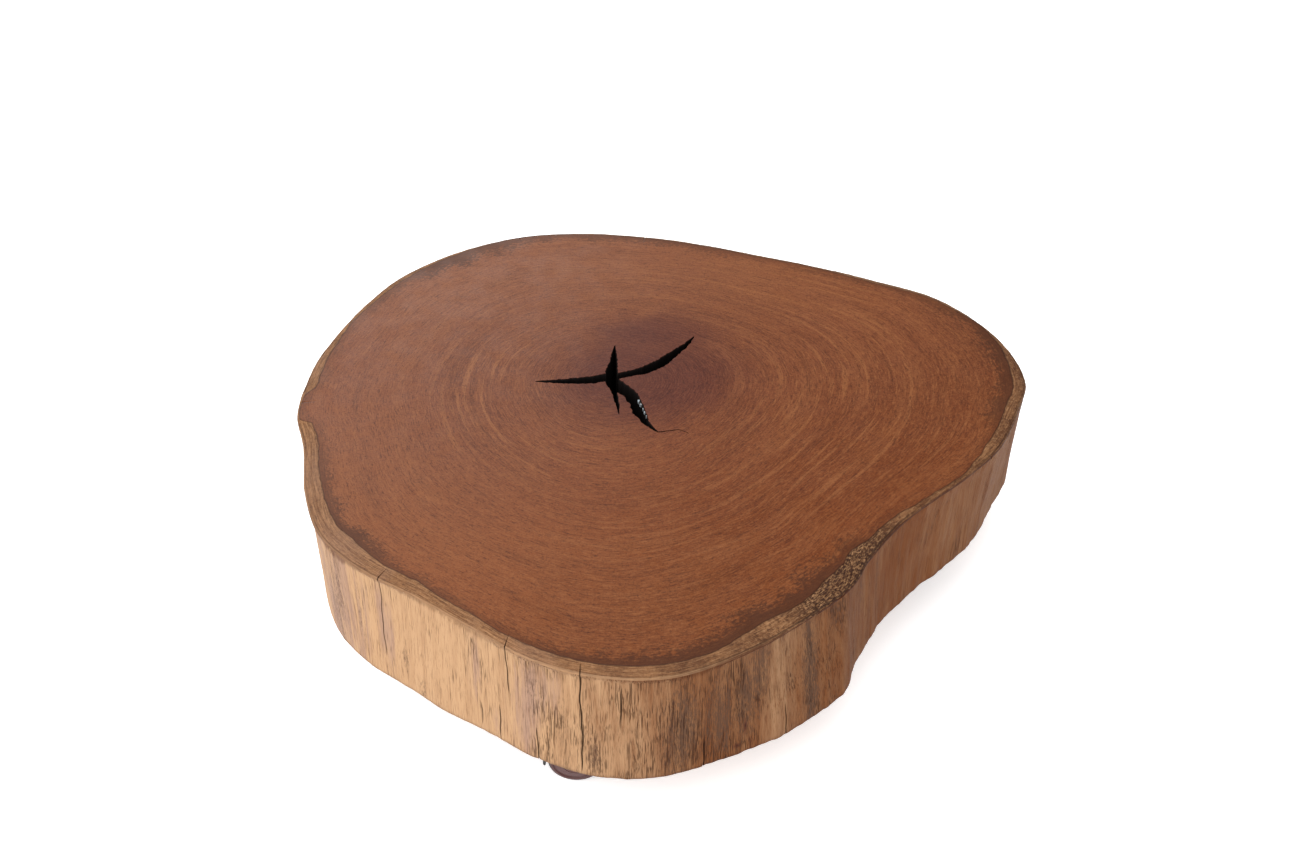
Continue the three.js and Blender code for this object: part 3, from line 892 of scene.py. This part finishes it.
def heartwood(s, place, axes):
    """Colour of the heartwood's end grain, with painted light and sheen set by place on the top, and the
    height of its pores.
    """
    age = s.attribute("age")
    ring_noise = noise_along_lines(s, axes, s.swing(s.noise(place, 6), 0.05, age))
    broad = ring_noise(5, 17)
    rings = ring_noise(7, 62, 3.0, 0.6)
    fine = ring_noise(40, 190, 2.0, 0.6)
    fibres = ring_noise(120, 310, 2.0, 0.7)
    speckle = s.noise(place, 520, 3, 0.8)
    cells = s.cells(place, 480)
    marked = s.times(s.ramp(age, 0.10, 0.24), s.attribute("marked"))
    # The first four layers, set by place on the top, are painted light and sheen: warmer at the front, paler
    # towards the front-left and the back, darker towards the right.
    colour = s.layers(HEARTWOOD, [
        (s.math("MULTIPLY_ADD", axes["X"], -0.35, axes["Y"]), 0.08, -0.30, 1.0, HEARTWOOD_WARM),
        (s.math("MULTIPLY_ADD", axes["X"], 0.5, axes["Y"]), -0.05, -0.30, 0.30, HEARTWOOD_PALE),
        (s.math("SUBTRACT", axes["X"], axes["Y"]), 0.0, 0.30, 0.34, HEARTWOOD_DARK),
        (axes["Y"], 0.10, 0.28, 0.18, HEARTWOOD_PALE),
    ])
    colour = s.mix(s.ramp(age, 0.80, 0.40), colour, CENTRE_TINT, blend="MULTIPLY")
    colour = s.layers(colour, [
        (broad, 0.45, 0.75, 0.22, HEARTWOOD_PALE),
        (broad, 0.48, 0.25, 0.18, HEARTWOOD_DARK),
        (rings, 0.55, 0.63, s.times(marked, 0.72), HEARTWOOD_PALE),
        (rings, 0.46, 0.36, s.times(marked, 0.26), HEARTWOOD_DARK),
        (fine, 0.54, 0.72, 0.32, HEARTWOOD_PALE),
        (fine, 0.46, 0.28, 0.34, HEARTWOOD_DARK),
        (fibres, 0.52, 0.68, 0.50, HEARTWOOD_PALE),
        (fibres, 0.47, 0.30, 0.62, HEARTWOOD_DARK),
        (s.noise(place, 24, 3, 0.6), 0.55, 0.8, 0.2, HEARTWOOD_PALE),
        (speckle, 0.48, 0.34, 0.50, HEARTWOOD_DARK),
        (speckle, 0.53, 0.68, 0.44, HEARTWOOD_PALE),
        (cells, 0.30, 0.08, 0.25, HEARTWOOD_DARK),
    ])
    return colour, s.times(s.math("ADD", s.ramp(cells, 0.08, 0.30), fibres), 0.5)


def top_material():
    """The end grain: heartwood with painted light by place, the stain inside the sapwood band, the band with
    a painted highlight at the arris, the line along the arris, which is partly painted shadow, and painted
    shade in the checks.
    """
    s = Shader("end_grain")
    place = s.place()
    axes = {name: s.node("ShaderNodeSeparateXYZ", {0: place}, output=name) for name in "XY"}
    names = ("edge", "band", "tone", "line", "rough")
    edge, band, tone, line, coarse = (s.attribute(name) for name in names)
    colour, height = heartwood(s, place, axes)
    halo = s.swing(s.noise(place, 26, 3), 0.35, s.attribute("halo"))
    colour = s.mix(s.ramp(halo, 0.12, 0.85, 0.0, 0.85), colour, PITH_TINT, blend="MULTIPLY")

    edge_noise = noise_along_lines(s, axes, edge)
    inside = s.math("SUBTRACT", edge, band)
    reach = s.math("DIVIDE", inside, s.attribute("stain_width"))
    torn = s.swing(edge_noise(260, 3, 3.0, 0.6), 2.8, s.swing(s.noise(place, 34, 5, 0.7), 2.2))
    reach = s.math("MULTIPLY_ADD", torn, s.ramp(reach, 0.0, 0.5), reach)
    layers = edge_noise(26, 12, 3.0, 0.6)
    grain = edge_noise(90, 22, 3.0, 0.65)
    specks = s.noise(place, 320, 3, 0.7)
    pits = s.swing(specks, 0.5, edge_noise(260, 18, 2.0, 0.6))
    browner = s.swing(s.noise(place, 34), 1.6, s.times(tone, 0.62))
    paleness = s.ramp(tone, 0.5, 1.0, 1.0, 0.7)
    speckled = s.ramp(coarse, 0.1, 0.9, 0.35, 1.0)
    worn = s.ramp(coarse, 0.45, 1.1)
    share = s.math("DIVIDE", edge, band)
    seam = s.math("ABSOLUTE", s.math("SUBTRACT", share, s.math("MULTIPLY_ADD", layers, 0.35, 0.35)))
    bead = s.math("ABSOLUTE", s.math("SUBTRACT", edge, s.math("MULTIPLY_ADD", layers, 0.2, 0.12)))
    border = s.swing(edge_noise(90, 0.0), 0.25, inside)
    sapwood = s.layers(SAPWOOD, [
        (browner, 0.0, 1.0, 1.0, SAPWOOD_BROWN),
        (layers, 0.48, 0.72, 0.7, SAPWOOD_BROWN),
        (layers, 0.46, 0.28, s.times(paleness, 0.5), SAPWOOD_PALE),
        (grain, 0.50, 0.66, 0.75, WALL_DARK),
        (grain, 0.46, 0.32, s.times(paleness, 0.7), SAPWOOD_PALE),
        (specks, 0.53, 0.64, s.times(speckled, 0.85), WALL_DARK),
        (specks, 0.47, 0.36, s.times(speckled, 0.5), SAPWOOD_PALE),
        (coarse, 0.4, 1.2, 0.5, SAPWOOD_WORN),
        (pits, 0.45, 0.38, s.times(worn, 0.6), SAPWOOD_PALE),
        (pits, 0.47, 0.53, s.times(worn, 0.95), WALL_DARK),
        (s.times(s.attribute("pink"), 0.4), WALL_PINK),
        (seam, 0.07, 0.02, 0.3, SAPWOOD_BROWN),
        # A dark line inside the bead, as strong as the arris line: partly the wood's own line and partly
        # painted shadow.
        (bead, 0.12, 0.04, s.times(line, s.ramp(band, 0.5, 1.1, 0.0, 0.75)), WALL_DARK),
        # Painted highlight: a pale line along the rounded arris, fainter where the dark arris line is strong.
        (edge, 0.22, 0.10, s.math("MULTIPLY_ADD", line, -0.6, 0.6), WALL_PALE),
    ])
    colour = s.layers(colour, [
        (reach, 0.95, 0.2, s.times(s.attribute("stain"), 0.80), EDGE_STAIN),
        (border, 0.02, -0.02, 1.0, sapwood),
        (border, -0.12, -0.01, s.ramp(border, 0.0, 0.14, 0.65, 0.0), WALL_DARK),
        # Painted shadow along the outermost strip of the top, partly the wood's own dark edge.
        (edge, 0.15, 0.05, s.times(line, 0.9), ARRIS_DARK),
        # Painted shade in the drying checks.
        (s.attribute("check_shade"), CHECK_SHADE),
    ])

    rough = s.ramp(s.noise(place, 40, 3), 0.3, 0.7, 0.36, 0.46)
    rough = s.math("ADD", rough, s.ramp(inside, -0.1, 0.05, 0.22, 0.0))
    pitted = s.times(worn, s.ramp(pits, 0.47, 0.53))
    sap_height = s.math("MULTIPLY_ADD", pitted, -7.2, s.times(grain, -4.8))
    relief = s.math("MULTIPLY_ADD", s.ramp(inside, -0.05, 0.05, 1.0, 0.0), sap_height, height)
    return s.set(Base_Color=colour, Roughness=rough, Normal=s.bump(relief, 0.10), Specular_IOR_Level=0.15)


# Small knots in the wall: (degrees round the heart, height, half width, half height) in mm
KNOTS = [
    (-73.6, 12, 3.4, 2.6), (-71.6, 7, 2.0, 7.5), (-72.6, 30, 1.6, 9.0), (31, 46, 4.5, 4.0),
    (147, 78, 4.0, 4.4),
]
KNOT_RING = srgb(70, 36, 24)
KNOT_CORE = srgb(34, 16, 12)


def wall_material():
    """Long grain: fibres, weathered patches and dashes, painted shadow under the arris, painted shade in the
    drying checks, along the foot and towards the right, and the knots.
    """
    s = Shader("long_grain")
    place = s.place()
    tone, grey, pink, up = (s.attribute(name) for name in ("tone", "grey", "pink", "up"))
    fibres = s.drawn_up(place, 0.05, 1500, 2, 0.6)
    strands = s.drawn_up(place, 0.04, 720, 3, 0.6)
    streaks = s.drawn_up(place, 0.06, 150, 4, 0.65)
    clouds = s.drawn_up(place, 0.35, 22, 3, 0.6)
    clusters = s.drawn_up(place, 0.4, 55, 3, 0.6)
    flecks = s.drawn_up(place, 0.22, 900, 2, 0.7)
    darker = s.swing(streaks, 1.0, s.swing(clouds, 0.9, tone))
    faded = s.swing(streaks, 2.4, pink)
    dirt = s.swing(strands, 1.2, s.swing(flecks, 2.0, s.swing(streaks, 1.5, grey)))
    spread = s.math("SUBTRACT", s.attribute("dashes"), 1.0)
    spread = s.math("MULTIPLY_ADD", spread, 0.26, clusters)
    short_dash = s.ramp(s.drawn_up(place, 0.07, 1250, 1.5), 0.54, 0.66)
    long_dash = s.ramp(s.drawn_up(place, 0.035, 820, 1.5), 0.58, 0.67)
    dash = s.times(short_dash, s.ramp(spread, 0.34, 0.62))
    dash = s.math("MAXIMUM", dash, s.times(long_dash, s.ramp(spread, 0.22, 0.58)))
    ragged = s.swing(streaks, 0.12, up)
    colour = s.mix(s.ramp(darker, 0.0, 1.1, smooth=False), WALL_PALE, WALL_BROWN)
    colour = s.layers(colour, [
        (tone, 0.6, 0.95, 0.42, WALL_TAN),
        (faded, 0.15, 0.95, s.ramp(pink, 0.02, 0.3, 0.0, 0.75), WALL_PINK),
        (strands, 0.52, 0.70, s.ramp(tone, 0.0, 0.45, 0.25, 0.5), WALL_BROWN),
        (strands, 0.60, 0.76, 0.45, WALL_DARK),
        (fibres, 0.54, 0.76, 0.5, WALL_DARK),
        (fibres, 0.45, 0.25, s.ramp(tone, 0.2, 0.8, 0.3, 0.075), WALL_PALE),
        (dirt, 0.20, 1.10, s.ramp(grey, 0.03, 0.35, 0.0, 0.85), WALL_GREY),
        (s.times(dash, 0.78), WALL_DARK),
        # Partly sapwood brown at the top of the wall, mostly painted shade under the overhanging lip,
        # stronger where its hollow is deeper.
        (ragged, 0.90, 0.955, s.math("MULTIPLY_ADD", s.attribute("lip"), 0.45, 0.08), SAPWOOD_BROWN),
        # Painted shade in the drying checks.
        (s.times(s.attribute("check_shade"), 0.85), CHECK_SHADE),
        # Painted shade: darker along the foot of the wall.
        (up, 0.05, 0.0, 0.4, WALL_DARK),
        # Painted shadow: the dark line right under the arris, partly the wood's own dark edge.
        (ragged, 0.925, 0.965, s.times(s.attribute("line"), 0.9), ARRIS_DARK),
    ])
    for degrees, level, wide, tall in KNOTS:
        x, y = outline.point[np.argmin(np.abs(turn_from(outline.angle, degrees)))]
        scale = (1000 / wide, 1000 / wide, 1000 / tall)
        offset = (-x / wide, -y / wide, -(level + UNDERSIDE) / tall)
        spot = {0: s.stretch(place, scale, offset)}
        spot = s.node("ShaderNodeVectorMath", spot, output="Value", operation="LENGTH")
        spot = s.math("MULTIPLY_ADD", s.noise(place, 300), 0.8, spot)
        colour = s.layers(colour, [(spot, 2.2, 0.7, 0.85, KNOT_RING), (spot, 1.0, 0.5, 0.9, KNOT_CORE)])
    height = s.math("MULTIPLY_ADD", strands, -0.65, s.times(dash, -0.5))
    height = s.math("MULTIPLY_ADD", fibres, -0.35, height)
    rough = s.math("MULTIPLY_ADD", height, -0.25, 0.5)
    return s.set(Base_Color=colour, Roughness=rough, Normal=s.bump(height, 0.55), Specular_IOR_Level=0.05)


def heart_check_shade_material():
    """The torn walls of the heart check, painted near black as the shade inside the deep check, brown only at
    their very top.
    """
    s = Shader("heart_check_painted_shade")
    fibres = s.drawn_up(s.place(), 0.08, 500, 3)
    colour = s.mix(fibres, srgb(3, 2, 2), srgb(15, 8, 6))
    colour = s.layers(colour, [(s.attribute("up"), 0.992, 1.0, 1.0, srgb(44, 20, 13))])
    return s.set(Base_Color=colour, Roughness=0.75, Normal=s.bump(fibres, 0.8), Specular_IOR_Level=0.1)


def glint_splinter_material():
    s = Shader("splinter_painted_glint")
    fibres = s.drawn_up(s.place(), 0.2, 900, 2)
    # Painted glint: a pale bluish white with dark fibres, for the reflections on the torn edge.
    colour = s.layers(srgb(150, 160, 165), [(fibres, 0.35, 0.65, 1.0, srgb(70, 62, 58))])
    return s.set(Base_Color=colour, Roughness=0.25, Normal=s.bump(fibres, 0.3), Specular_IOR_Level=0.6)


def underside_material():
    """Sawn end grain with growth rings and the saw's marks, pale near the rim."""
    s = Shader("sawn_underside")
    place = s.place()
    saw = s.noise(s.stretch(place, (0.04, 1, 1)), 240)
    wavy = s.math("MULTIPLY_ADD", s.noise(place, 8), 0.03, s.attribute("age"))
    colour = s.layers(srgb(128, 86, 62), [
        (s.math("FRACT", s.times(wavy, 46)), 0.5, 1.0, 0.5, srgb(100, 64, 46)),
        (wavy, 0.95, 0.97, 1.0, srgb(164, 126, 92)),
        (saw, 0.45, 0.7, 0.4, WALL_DARK),
        (s.noise(place, 700), 0.5, 0.7, 0.4, WALL_DARK),
    ])
    return s.set(Base_Color=colour, Roughness=0.75, Normal=s.bump(saw, 0.5), Specular_IOR_Level=0.3)


def add_slice():
    piece = slice_mesh()
    turned_outwards(piece)
    cut_heart_check(piece)
    piece.data.materials.clear()
    for material in (top_material(), wall_material(), heart_check_shade_material(), underside_material()):
        piece.data.materials.append(material)
    paint_slice(piece)
    shade_smooth(piece, 50)
    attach(piece, "table")
    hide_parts("slice")
    add_splinters()


# Casters, in millimetres. A caster's own frame has its kingpin at x = 0, and its wheels trail along -X.

TRAIL, AXLE_HEIGHT, WHEEL_RADIUS = 20.0, 25.0, 25.0
HUB_HALF = 7.3  # from the caster's middle plane to a wheel's inner face
HOOD_FROM, HOOD_TO = -12.0, 182.0  # round the axle in degrees, 0 towards the kingpin
HOOD_INNER, HOOD_OUTER, HOOD_HALF = 26.2, 29.0, 23.5
WEB_HALF, WEB_RADIUS, WEB_HUB, WEB_LEAN = 7.0, 28.0, 8.0, 25.0
PLATE_BOTTOM, PLATE_TOP, PLATE_HALF, PLATE_CORNER = 59.5, 62.0, 30.0, 6.0
SCREW_PITCH, SCREW_HEIGHT, SCREW_TURN = 44.0, PLATE_BOTTOM - 0.3, 37

WHEEL_PROFILE = [
    (0, 11.3), (3.3, 11.3), (3.3, 0.5), (3.8, 0), (8.2, 0), (8.8, 0.6), (19.2, 0.6), (19.9, 0), (22.2, 0),
    (23.5, 0.4), (24.4, 1.2), (24.85, 2.3), (25, 3.6), (25, 6.0), (24.75, 6.3), (24.75, 6.6), (25, 6.9),
    (25, 9.9), (24.85, 11.1), (24.3, 12.2), (23.4, 13.1), (22.3, 13.5), (21.2, 13.45), (20.6, 12.8),
    (19.9, 12.8), (19.3, 13.4), (15.5, 14.4), (12.6, 15.1), (12.0, 14.7), (11.4, 15.1), (10.8, 15.6),
    (7.0, 15.9), (3.4, 15.95), (2.9, 15.3), (0, 15.1),
]
SCREW_PROFILE = [
    (0, -2.2), (2.3, -2.2), (3.3, -1.95), (4.0, -1.4), (4.35, -0.75), (4.4, -0.15), (4.2, 0), (2, 0),
    (2, 20), (0, 24),
]
KINGPIN_PROFILE = [
    (0, 34), (3.4, 34), (4, 34.7), (4, 57.7), (7.0, 57.7), (7.5, 58.1), (7.5, 58.8), (7.0, 59.2), (0, 59.2),
]
SOCKET_PROFILE = [
    (0, 33), (9.2, 33), (10.1, 33.4), (10.5, 34.2), (10.5, 55.8), (10.2, 56.7), (9.4, 57.2), (5.4, 57.2),
    (4.3, 56.4), (4.3, 33.7), (0, 33.7),
]
AXLE_PROFILE = [(0, -18.3), (2.6, -18.3), (3, -17.9), (3, 17.9), (2.6, 18.3), (0, 18.3)]
RACE_PROFILE = [
    (11.4, 60.2), (11.4, 59.3), (12.3, 58.6), (14.2, 58.4), (16.1, 58.6), (17.0, 59.3), (17.0, 60.2),
]
# What is cut out of the hood and the plate
ROOM_PROFILE = [(0, 0), (HOOD_INNER, 0), (HOOD_INNER, 30), (0, 30)]
BORE_PROFILE = [(0, 33.7), (4.3, 33.7), (4.3, 56.4), (5.6, 57.4), (5.6, 70), (0, 70)]
AXLE_HOLE_PROFILE = [(0, -40), (3.3, -40), (3.3, 40), (0, 40)]
SCREW_HOLE_PROFILE = [
    (0, 50), (3.1, 50), (3.1, PLATE_BOTTOM), (2.6, PLATE_BOTTOM + 0.5), (2.6, 70), (0, 70),
]
# How far the edges are eased: (height or half thickness, mm)
PLATE_EASES = (
    (PLATE_BOTTOM, 0.7), (PLATE_BOTTOM + 0.2, 0.3), (PLATE_BOTTOM + 0.6, 0.05), (PLATE_TOP - 0.4, 0.0),
    (PLATE_TOP - 0.1, 0.1), (PLATE_TOP, 0.35),
)
WEB_EASES = (
    (-WEB_HALF, 0.9), (-WEB_HALF + 0.5, 0.25), (-WEB_HALF + 1.1, 0.0), (WEB_HALF - 1.1, 0.0),
    (WEB_HALF - 0.5, 0.25), (WEB_HALF, 0.9),
)
CROSS_RECESS = ((-3.0, 2.5, 0.62), (-1.0, 1.6, 0.42), (-0.45, 0.9, 0.34))  # (height, half length, half width)
BODIES = {"hood": "fork", "axle": "fork", "wheel_a": "roller_a", "wheel_b": "roller_b"}  # the rest: the table


def lathe(name, profile, segments, closed=False):
    """A shape turned round the Z axis. The profile [radius, height] meets the axis, or closes on itself."""
    vertices, rings, faces = [], [], []
    for radius, height in profile:
        count = segments if radius > 0 else 1
        turns = [2 * math.pi * i / segments for i in range(count)]
        rings.append([len(vertices) + i for i in range(count)])
        vertices.extend((radius * math.cos(t), radius * math.sin(t), height) for t in turns)
    pairs = list(zip(rings, rings[1:])) + ([(rings[-1], rings[0])] if closed else [])
    for low, high in pairs:
        for i in range(segments):
            j = (i + 1) % segments
            corners = (low[i % len(low)], low[j % len(low)], high[j % len(high)], high[i % len(high)])
            face = tuple(dict.fromkeys(corners))
            if len(face) > 2:
                faces.append(face)
    return turned_outwards(add_object(name, vertices, faces))


def skin(name, rings):
    """A closed shape over rings of equal count, capped at both ends."""
    count = len(rings[0])
    faces = [tuple(range(count)), tuple(range((len(rings) - 1) * count, len(rings) * count))]
    faces += ring_faces(len(rings), count)
    return turned_outwards(add_object(name, [p for ring in rings for p in ring], faces))


def moved(piece, matrix):
    piece.data.transform(matrix)
    return piece


def shifted(piece, x, y, z):
    return moved(piece, Matrix.Translation(Vector((x, y, z)) * MM))


def quarter(step):
    """Points on a quarter of a circle of radius 1."""
    return [(math.cos(math.radians(t)), math.sin(math.radians(t))) for t in range(0, 91, step)]


def guard_shape():
    """The arched guard: a rounded strip swept round the axle, thinned at its two ends."""
    corner = quarter(30)
    outer, inner = 1.3, 0.6
    half, top, low = HOOD_HALF, HOOD_OUTER, HOOD_INNER
    section = [(half - outer + outer * x, top - outer + outer * y) for x, y in corner]
    section += [(1.2, top), (0.8, top - 0.35), (-0.8, top - 0.35), (-1.2, top)]
    section += [(-(half - outer) - outer * y, top - outer + outer * x) for x, y in corner]
    section += [(-(half - inner) - inner * x, low + inner - inner * y) for x, y in corner]
    section += [((half - inner) + inner * y, low + inner - inner * x) for x, y in corner]
    ends = [(0.0, 0.45), (0.7, 0.78), (1.7, 0.95), (3.2, 1.0)]
    steps = [(HOOD_FROM + a, s) for a, s in ends]
    steps += [(a, 1.0) for a in np.linspace(HOOD_FROM + 6, HOOD_TO - 6, 60)]
    steps += [(HOOD_TO - a, s) for a, s in reversed(ends)]
    middle = (HOOD_INNER + HOOD_OUTER) / 2
    rings = []
    for degrees, share in steps:
        turn = math.radians(degrees)
        radii = [(y, middle + (r - middle) * share) for y, r in section]
        rings.append([(r * math.cos(turn), y, AXLE_HEIGHT + r * math.sin(turn)) for y, r in radii])
    return skin("guard", rings)


def web_shape():
    """The wall between the wheels, with its edges eased."""
    upper = [(WEB_RADIUS, a) for a in np.linspace(HOOD_FROM, HOOD_TO, 50)]
    lower = [(WEB_HUB, a) for a in np.linspace(HOOD_TO + WEB_LEAN, 360 + HOOD_FROM - WEB_LEAN, 16)]
    rings = []
    for y, ease in WEB_EASES:
        ring = [(r - ease, math.radians(a)) for r, a in upper + lower]
        rings.append([(r * math.cos(a), y, AXLE_HEIGHT + r * math.sin(a)) for r, a in ring])
    return skin("web", rings)


def across(piece, x, y, z, side=1):
    """Turns a shape made round the Z axis to lie along Y, or -Y for side -1, and moves it into place."""
    moved(piece, Matrix.Rotation(math.radians(-90 * side), 4, "X"))
    return shifted(piece, x, y, z)


def hood_shape():
    hood = web_shape()
    combine(hood, shifted(lathe("socket", SOCKET_PROFILE, 64), TRAIL, 0, 0), "UNION")
    for side in (1, -1):
        room = across(lathe("room", ROOM_PROFILE, 96), 0, side * WEB_HALF, AXLE_HEIGHT, side)
        combine(hood, room, "DIFFERENCE")
    combine(hood, guard_shape(), "UNION")
    combine(hood, shifted(lathe("bore", BORE_PROFILE, 48), TRAIL, 0, 0), "DIFFERENCE")
    combine(hood, across(lathe("hole", AXLE_HOLE_PROFILE, 48), 0, 0, AXLE_HEIGHT), "DIFFERENCE")
    return shifted(hood, -TRAIL, 0, 0)


def screw_places():
    half = SCREW_PITCH / 2
    return [(half, half), (-half, half), (-half, -half), (half, -half)]


def plate_shape():
    """A pressed square plate with rounded corners, four screw holes and a ball race under its middle."""
    corner = quarter(9)
    rings = []
    for z, ease in PLATE_EASES:
        reach, bend = PLATE_HALF - PLATE_CORNER, PLATE_CORNER - ease
        ring = []
        for turn in range(4):
            spin = Matrix.Rotation(turn * math.pi / 2, 2)
            ring += [tuple(spin @ Vector((reach + bend * x, reach + bend * y))) for x, y in corner]
        rings.append([(x, y, z) for x, y in ring])
    plate = skin("plate", rings)
    combine(plate, lathe("race", RACE_PROFILE, 72, closed=True), "UNION")
    for x, y in screw_places():
        combine(plate, shifted(lathe("hole", SCREW_HOLE_PROFILE, 40), x, y, 0), "DIFFERENCE")
    return plate


def screw_shape():
    """A pan-head wood screw with a cross recess; the head's rim lies at height 0."""
    screw = lathe("screw", SCREW_PROFILE, 40)
    for turned in (0, 1):
        rings = []
        for z, long, wide in CROSS_RECESS:
            ring = [(long, -wide), (long, wide), (-long, wide), (-long, -wide)]
            ring = [(-y, x) for x, y in ring] if turned else ring
            rings.append([(x, y, z) for x, y in ring])
        combine(screw, skin("slot", rings), "DIFFERENCE")
    return screw


def metal_material(name, base, dull):
    """Zinc-plated steel: soft spangle, fine scratches and a few dull patches."""
    s = Shader(name)
    place = s.place()
    scratches = s.noise(s.stretch(place, (1, 0.06, 1)), 2400)
    patches = s.noise(place, 60, 3)
    colour = s.layers(base, [(s.cells(place, 340), 0.1, 0.6, 1.0, dull), (patches, 0.5, 0.75, 0.5, dull)])
    rough = s.math("MULTIPLY_ADD", scratches, 0.16, s.ramp(patches, 0.35, 0.7, 0.22, 0.40))
    return s.set(Base_Color=colour, Metallic=1.0, Roughness=rough, Normal=s.bump(scratches, 0.02))


def nylon_material(name, base, worn, face=None):
    """Moulded nylon with a fine grain, scuffs and a little dust. A wheel's face may have its own colour,
    which is painted light on its lit face.
    """
    s = Shader(name)
    place = s.place()
    grain = s.noise(place, 1800)
    marks = s.noise(s.stretch(place, (1, 0.15, 1)), 240, 4, 0.7)
    if face:
        # Painted light and shade: the face inside the outer ring is a lighter purple-brown for its lit side,
        # and the black outer ring stands for the shade in the gap beside the guard.
        base = s.layers(base, [(s.attribute("out"), 0.94, 0.90, 1.0, face)])
    colour = s.layers(base, [
        (marks, 0.52, 0.72, 0.5, worn),
        (s.noise(place, 90, 3), 0.55, 0.8, 0.25, srgb(96, 88, 84)),
    ])
    rough = s.math("MULTIPLY_ADD", marks, 0.22, 0.26)
    normal = s.bump(s.math("MULTIPLY_ADD", grain, 0.4, s.times(marks, 0.6)), 0.05)
    return s.set(Base_Color=colour, Roughness=rough, Normal=normal, Specular_IOR_Level=0.35)


def add_casters():
    zinc = metal_material("zinc_plate", srgb(186, 188, 192), srgb(140, 143, 148))
    screw_steel = metal_material("screw_steel", srgb(172, 168, 158), srgb(120, 116, 108))
    nylon = nylon_material("hood_nylon", srgb(20, 20, 22), srgb(52, 50, 50))
    # Black nylon wheels whose faces are painted a lighter purple-brown as painted light.
    tread = nylon_material("wheel_nylon", srgb(16, 14, 16), srgb(52, 46, 48), srgb(74, 42, 40))
    shapes = {
        "plate": (plate_shape(), zinc, "steel"),
        "kingpin": (lathe("kingpin", KINGPIN_PROFILE, 48), zinc, "steel"),
        "hood": (hood_shape(), nylon, "nylon"),
        "axle": (across(lathe("axle", AXLE_PROFILE, 40), -TRAIL, 0, AXLE_HEIGHT), zinc, "steel"),
    }
    for letter, side in (("a", 1), ("b", -1)):
        wheel = lathe("wheel", WHEEL_PROFILE, 112)
        points = read_vectors(wheel.data.vertices, "co") / MM
        store(wheel.data, "out", np.hypot(points[:, 0], points[:, 1]) / WHEEL_RADIUS)
        across(wheel, -TRAIL, side * HUB_HALF, AXLE_HEIGHT, side)
        shapes["wheel_" + letter] = (wheel, tread, "wheel")
    screw = screw_shape()
    for number, (x, y) in enumerate(screw_places(), 1):
        one = screw.copy()
        one.data = screw.data.copy()
        scene.collection.objects.link(one)
        moved(one, Matrix.Rotation(math.radians(SCREW_TURN * number), 4, "Z"))
        shapes[f"screw_{number}"] = (shifted(one, x, y, SCREW_HEIGHT), screw_steel, "steel")
    bpy.data.objects.remove(screw)
    joints = {joint["name"]: joint for joint in frame["joints"]}
    for number in (1, 2, 3, 4):
        swivel, roll = joints[f"caster_{number}_swivel"], joints[f"caster_{number}_roll_a"]
        heading = math.atan2(-roll["axis"][0], roll["axis"][1])
        place = Matrix.Translation((swivel["pos_m"][0], swivel["pos_m"][1], 0))
        place = place @ Matrix.Rotation(heading, 4, "Z")
        for kind, (shape, material, slot) in shapes.items():
            piece = bpy.data.objects.new(f"caster_{number}_{kind}_shape", shape.data.copy())
            scene.collection.objects.link(piece)
            moved(piece, place)
            piece.data.materials.clear()
            piece.data.materials.append(material)
            shade_smooth(piece, 32)
            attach(piece, f"caster_{number}_{BODIES[kind]}" if kind in BODIES else "table")
            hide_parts(f"caster_{number}_{kind}")
    for shape, _, _ in shapes.values():
        bpy.data.objects.remove(shape)


# Stage

WORLD_STRENGTH = 0.24
FLOOR_PALE, FLOOR_SHADE = (0.93, 0.93, 0.935, 1), (0.90, 0.90, 0.905, 1)
FLOOR_GLOW = 0.45  # the floor's own light, which keeps the shadow on it as faint as in a lit studio sweep
FLOOR_HALF_MM = 9000
SUN_STRENGTH = 5.0
SUN_ANGLE = 105
SUN_PLACE = (-1.0, -0.85, 1.7)  # the direction that its light comes from
# Soft boxes: (name, place, target, size, watts, colour), in metres
LAMPS = [
    ("sheen", (-1.0, 2.7, 1.55), (-0.2, 0.2, 0.18), (1.8, 1.1), 26, (1.0, 0.97, 0.97)),
    ("front_fill", (0.9, -2.4, 1.0), (0.1, 0, 0.12), (1.6, 1.0), 12, (1.0, 1.0, 1.0)),
]


def add_lamp(name, place, target, data):
    lamp = bpy.data.objects.new(name, data)
    lamp.location = place
    lamp.rotation_euler = (Vector(target) - Vector(place)).to_track_quat("-Z", "Y").to_euler()
    scene.collection.objects.link(lamp)


def add_stage():
    corners = [(x * FLOOR_HALF_MM, y * FLOOR_HALF_MM, 0) for x, y in ((-1, -1), (1, -1), (1, 1), (-1, 1))]
    floor = add_object("floor", corners, [(0, 1, 2, 3)])
    s = Shader("floor_paint")
    shade = s.ramp(s.noise(s.place(), 3), 0.3, 0.7)
    paint = s.mix(shade, FLOOR_PALE, FLOOR_SHADE)
    s.set(Base_Color=paint, Roughness=0.7, Specular_IOR_Level=0.15)
    floor.data.materials.append(s.set(Emission_Color=paint, Emission_Strength=FLOOR_GLOW))
    world = bpy.data.worlds.new("studio")
    world.use_nodes = True
    background = world.node_tree.nodes["Background"]
    background.inputs["Color"].default_value = (1, 1, 1, 1)
    background.inputs["Strength"].default_value = WORLD_STRENGTH
    scene.world = world
    scene.view_settings.view_transform = "Standard"
    sun = bpy.data.lights.new("sun", "SUN")
    sun.energy = SUN_STRENGTH
    sun.angle = math.radians(SUN_ANGLE)
    add_lamp("sun", SUN_PLACE, (0, 0, 0), sun)
    for name, place, target, size, watts, colour in LAMPS:
        data = bpy.data.lights.new(name, "AREA")
        data.shape = "RECTANGLE"
        data.size, data.size_y = size
        data.energy = watts
        data.color = colour
        add_lamp(name, place, target, data)


add_camera()
add_slice()
add_casters()
add_stage()
